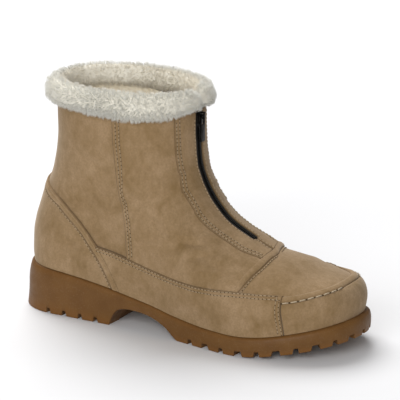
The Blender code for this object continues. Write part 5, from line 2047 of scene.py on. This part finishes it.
def add_studio():
    """A plain pale floor, soft lights and a pale surround."""
    half = FLOOR_SIZE / 2
    corners = [(-half, -half, 0), (half, -half, 0), (half, half, 0), (-half, half, 0)]
    mesh = bpy.data.meshes.new("floor")
    mesh.from_pydata(corners, [], [(0, 1, 2, 3)])
    mesh.materials.append(floor_finish())
    floor = linked("floor", mesh)
    world = bpy.data.worlds.new("surround")
    world.use_nodes = True
    world.node_tree.nodes["Background"].inputs["Color"].default_value = (1, 1, 1, 1)
    world.node_tree.nodes["Background"].inputs["Strength"].default_value = SURROUND
    bpy.context.scene.view_settings.view_transform = "Standard"
    bpy.context.scene.world = world
    for light in LIGHTS:
        add_light(*light)


SURFACE = worked_surface()
NORMALS = surface_normals(SURFACE)
FRONT_LINE = SURFACE[:, 0]
FRONT = np.stack([np.zeros(200), np.linspace(-0.02, 1, 200)], axis=-1)
BACK = np.stack([np.full(200, 180.0), np.linspace(-0.02, 1, 200)], axis=-1)
SEAMS = {
    "placket": seam(PLACKET_EDGE),
    "side": seam(SIDE_SEAM),
    "strip_top": seam(STRIP_TOP),
    "strip_low": seam(STRIP_LOW),
    "foxing": seam(FOXING_TOP),
    "cap": seam(TOE_CAP_SEAM),
    "moc": seam(MOC_SEAM),
    "crease": seam(CREASE),
    "band_back": seam(BAND_BACK),
    "band_front": seam(BAND_FRONT),
    "band_back_inner": inner_seam(BAND_BACK),
    "band_front_inner": inner_seam(BAND_FRONT),
}


def add_slider(metal):
    """The slider with its crown, and the pull on its bar."""
    low, high = (Vector(corner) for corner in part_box("zip_slider"))
    centre_z = (low.z + low.z + SLIDER_LENGTH) / 2
    bar = CROWN_THICK
    crown_low = high.z - CROWN_LENGTH
    foot_x = (low.x + SLIDER_THICK + high.x) / 2 - 0.0003
    foot_size = (high.x - low.x - SLIDER_THICK + 0.0006, CROWN_WIDTH, bar)
    boxes = [
        ((low.x + SLIDER_THICK * 0.32, 0, centre_z),
         (SLIDER_THICK * 0.64, SLIDER_WIDTH, SLIDER_LENGTH * 0.94), 0.0006),
        ((low.x + SLIDER_THICK * 0.70, 0, centre_z),
         (SLIDER_THICK * 0.60, SLIDER_WIDTH * 0.74, SLIDER_LENGTH), 0.0006),
        ((high.x - bar / 2, 0, (high.z + crown_low) / 2), (bar, CROWN_WIDTH, high.z - crown_low), 0.0003),
        ((foot_x, 0, high.z - bar / 2), foot_size, 0.0003),
        ((foot_x, 0, crown_low + bar / 2), foot_size, 0.0003),
    ]
    hardware_piece("slider_body", boxes, metal, "boot", "zip_slider")
    low, high = (Vector(corner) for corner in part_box("zip_pull"))
    middle = (low + high) / 2
    rail = (PULL_WIDTH - CROWN_WIDTH - 2 * PULL_CLEARANCE - WINDOW_ROOM) / 2
    window = PULL_LENGTH * 0.36
    rim = 0.9 * PULL_BAR
    boxes = [((middle.x, 0, high.z - rim), (PULL_THICK, PULL_WIDTH, 2 * rim), 0.0003)]
    for side in (-1, 1):
        rail_y = middle.y + side * (PULL_WIDTH - rail) / 2
        boxes.append(((middle.x, rail_y, high.z - window / 2), (PULL_THICK, rail, window), 0.0003))
    boxes += [
        ((middle.x, 0, (high.z - window + low.z) / 2),
         (PULL_THICK, PULL_WIDTH, high.z - window - low.z), 0.00035),
        ((middle.x + PULL_THICK * 0.35, 0, low.z + PULL_LENGTH * 0.30),
         (PULL_THICK * 0.5, PULL_WIDTH * 0.55, PULL_LENGTH * 0.42), 0.0002),
    ]
    hardware_piece("pull_tab", boxes, metal, "pull", "zip_pull")


def main():
    """The whole scene."""
    nap = nap_effect()
    wear_and_shade = edge_wear_and_shade_effect()
    suede = suede_finish("tan_suede", nap, wear_and_shade, SUEDE_LIGHT, SUEDE_DARK, SUEDE_EDGE_WEAR_AND_SHADE)
    thread = thread_finish("tan_thread", *TAN_THREAD)
    cream = thread_finish("cream_thread", *CREAM_THREAD)
    hole = hole_shade_finish()
    rubber = rubber_finish()
    fur = fur_finish()
    fleece = fleece_finish("beige_fleece", *FLEECE_TONES)
    tape = tape_finish()
    metal = metal_finish()
    add_camera()
    add_studio()
    add_bare_upper(suede)
    add_panels(suede)
    add_stitches(thread, hole)
    add_hand_stitches(cream, hole)
    add_sole(rubber)
    add_lining(fleece)
    add_footbed(fleece)
    add_zip_chain(tape, metal)
    add_slider(metal)
    add_fur(fur)


main()
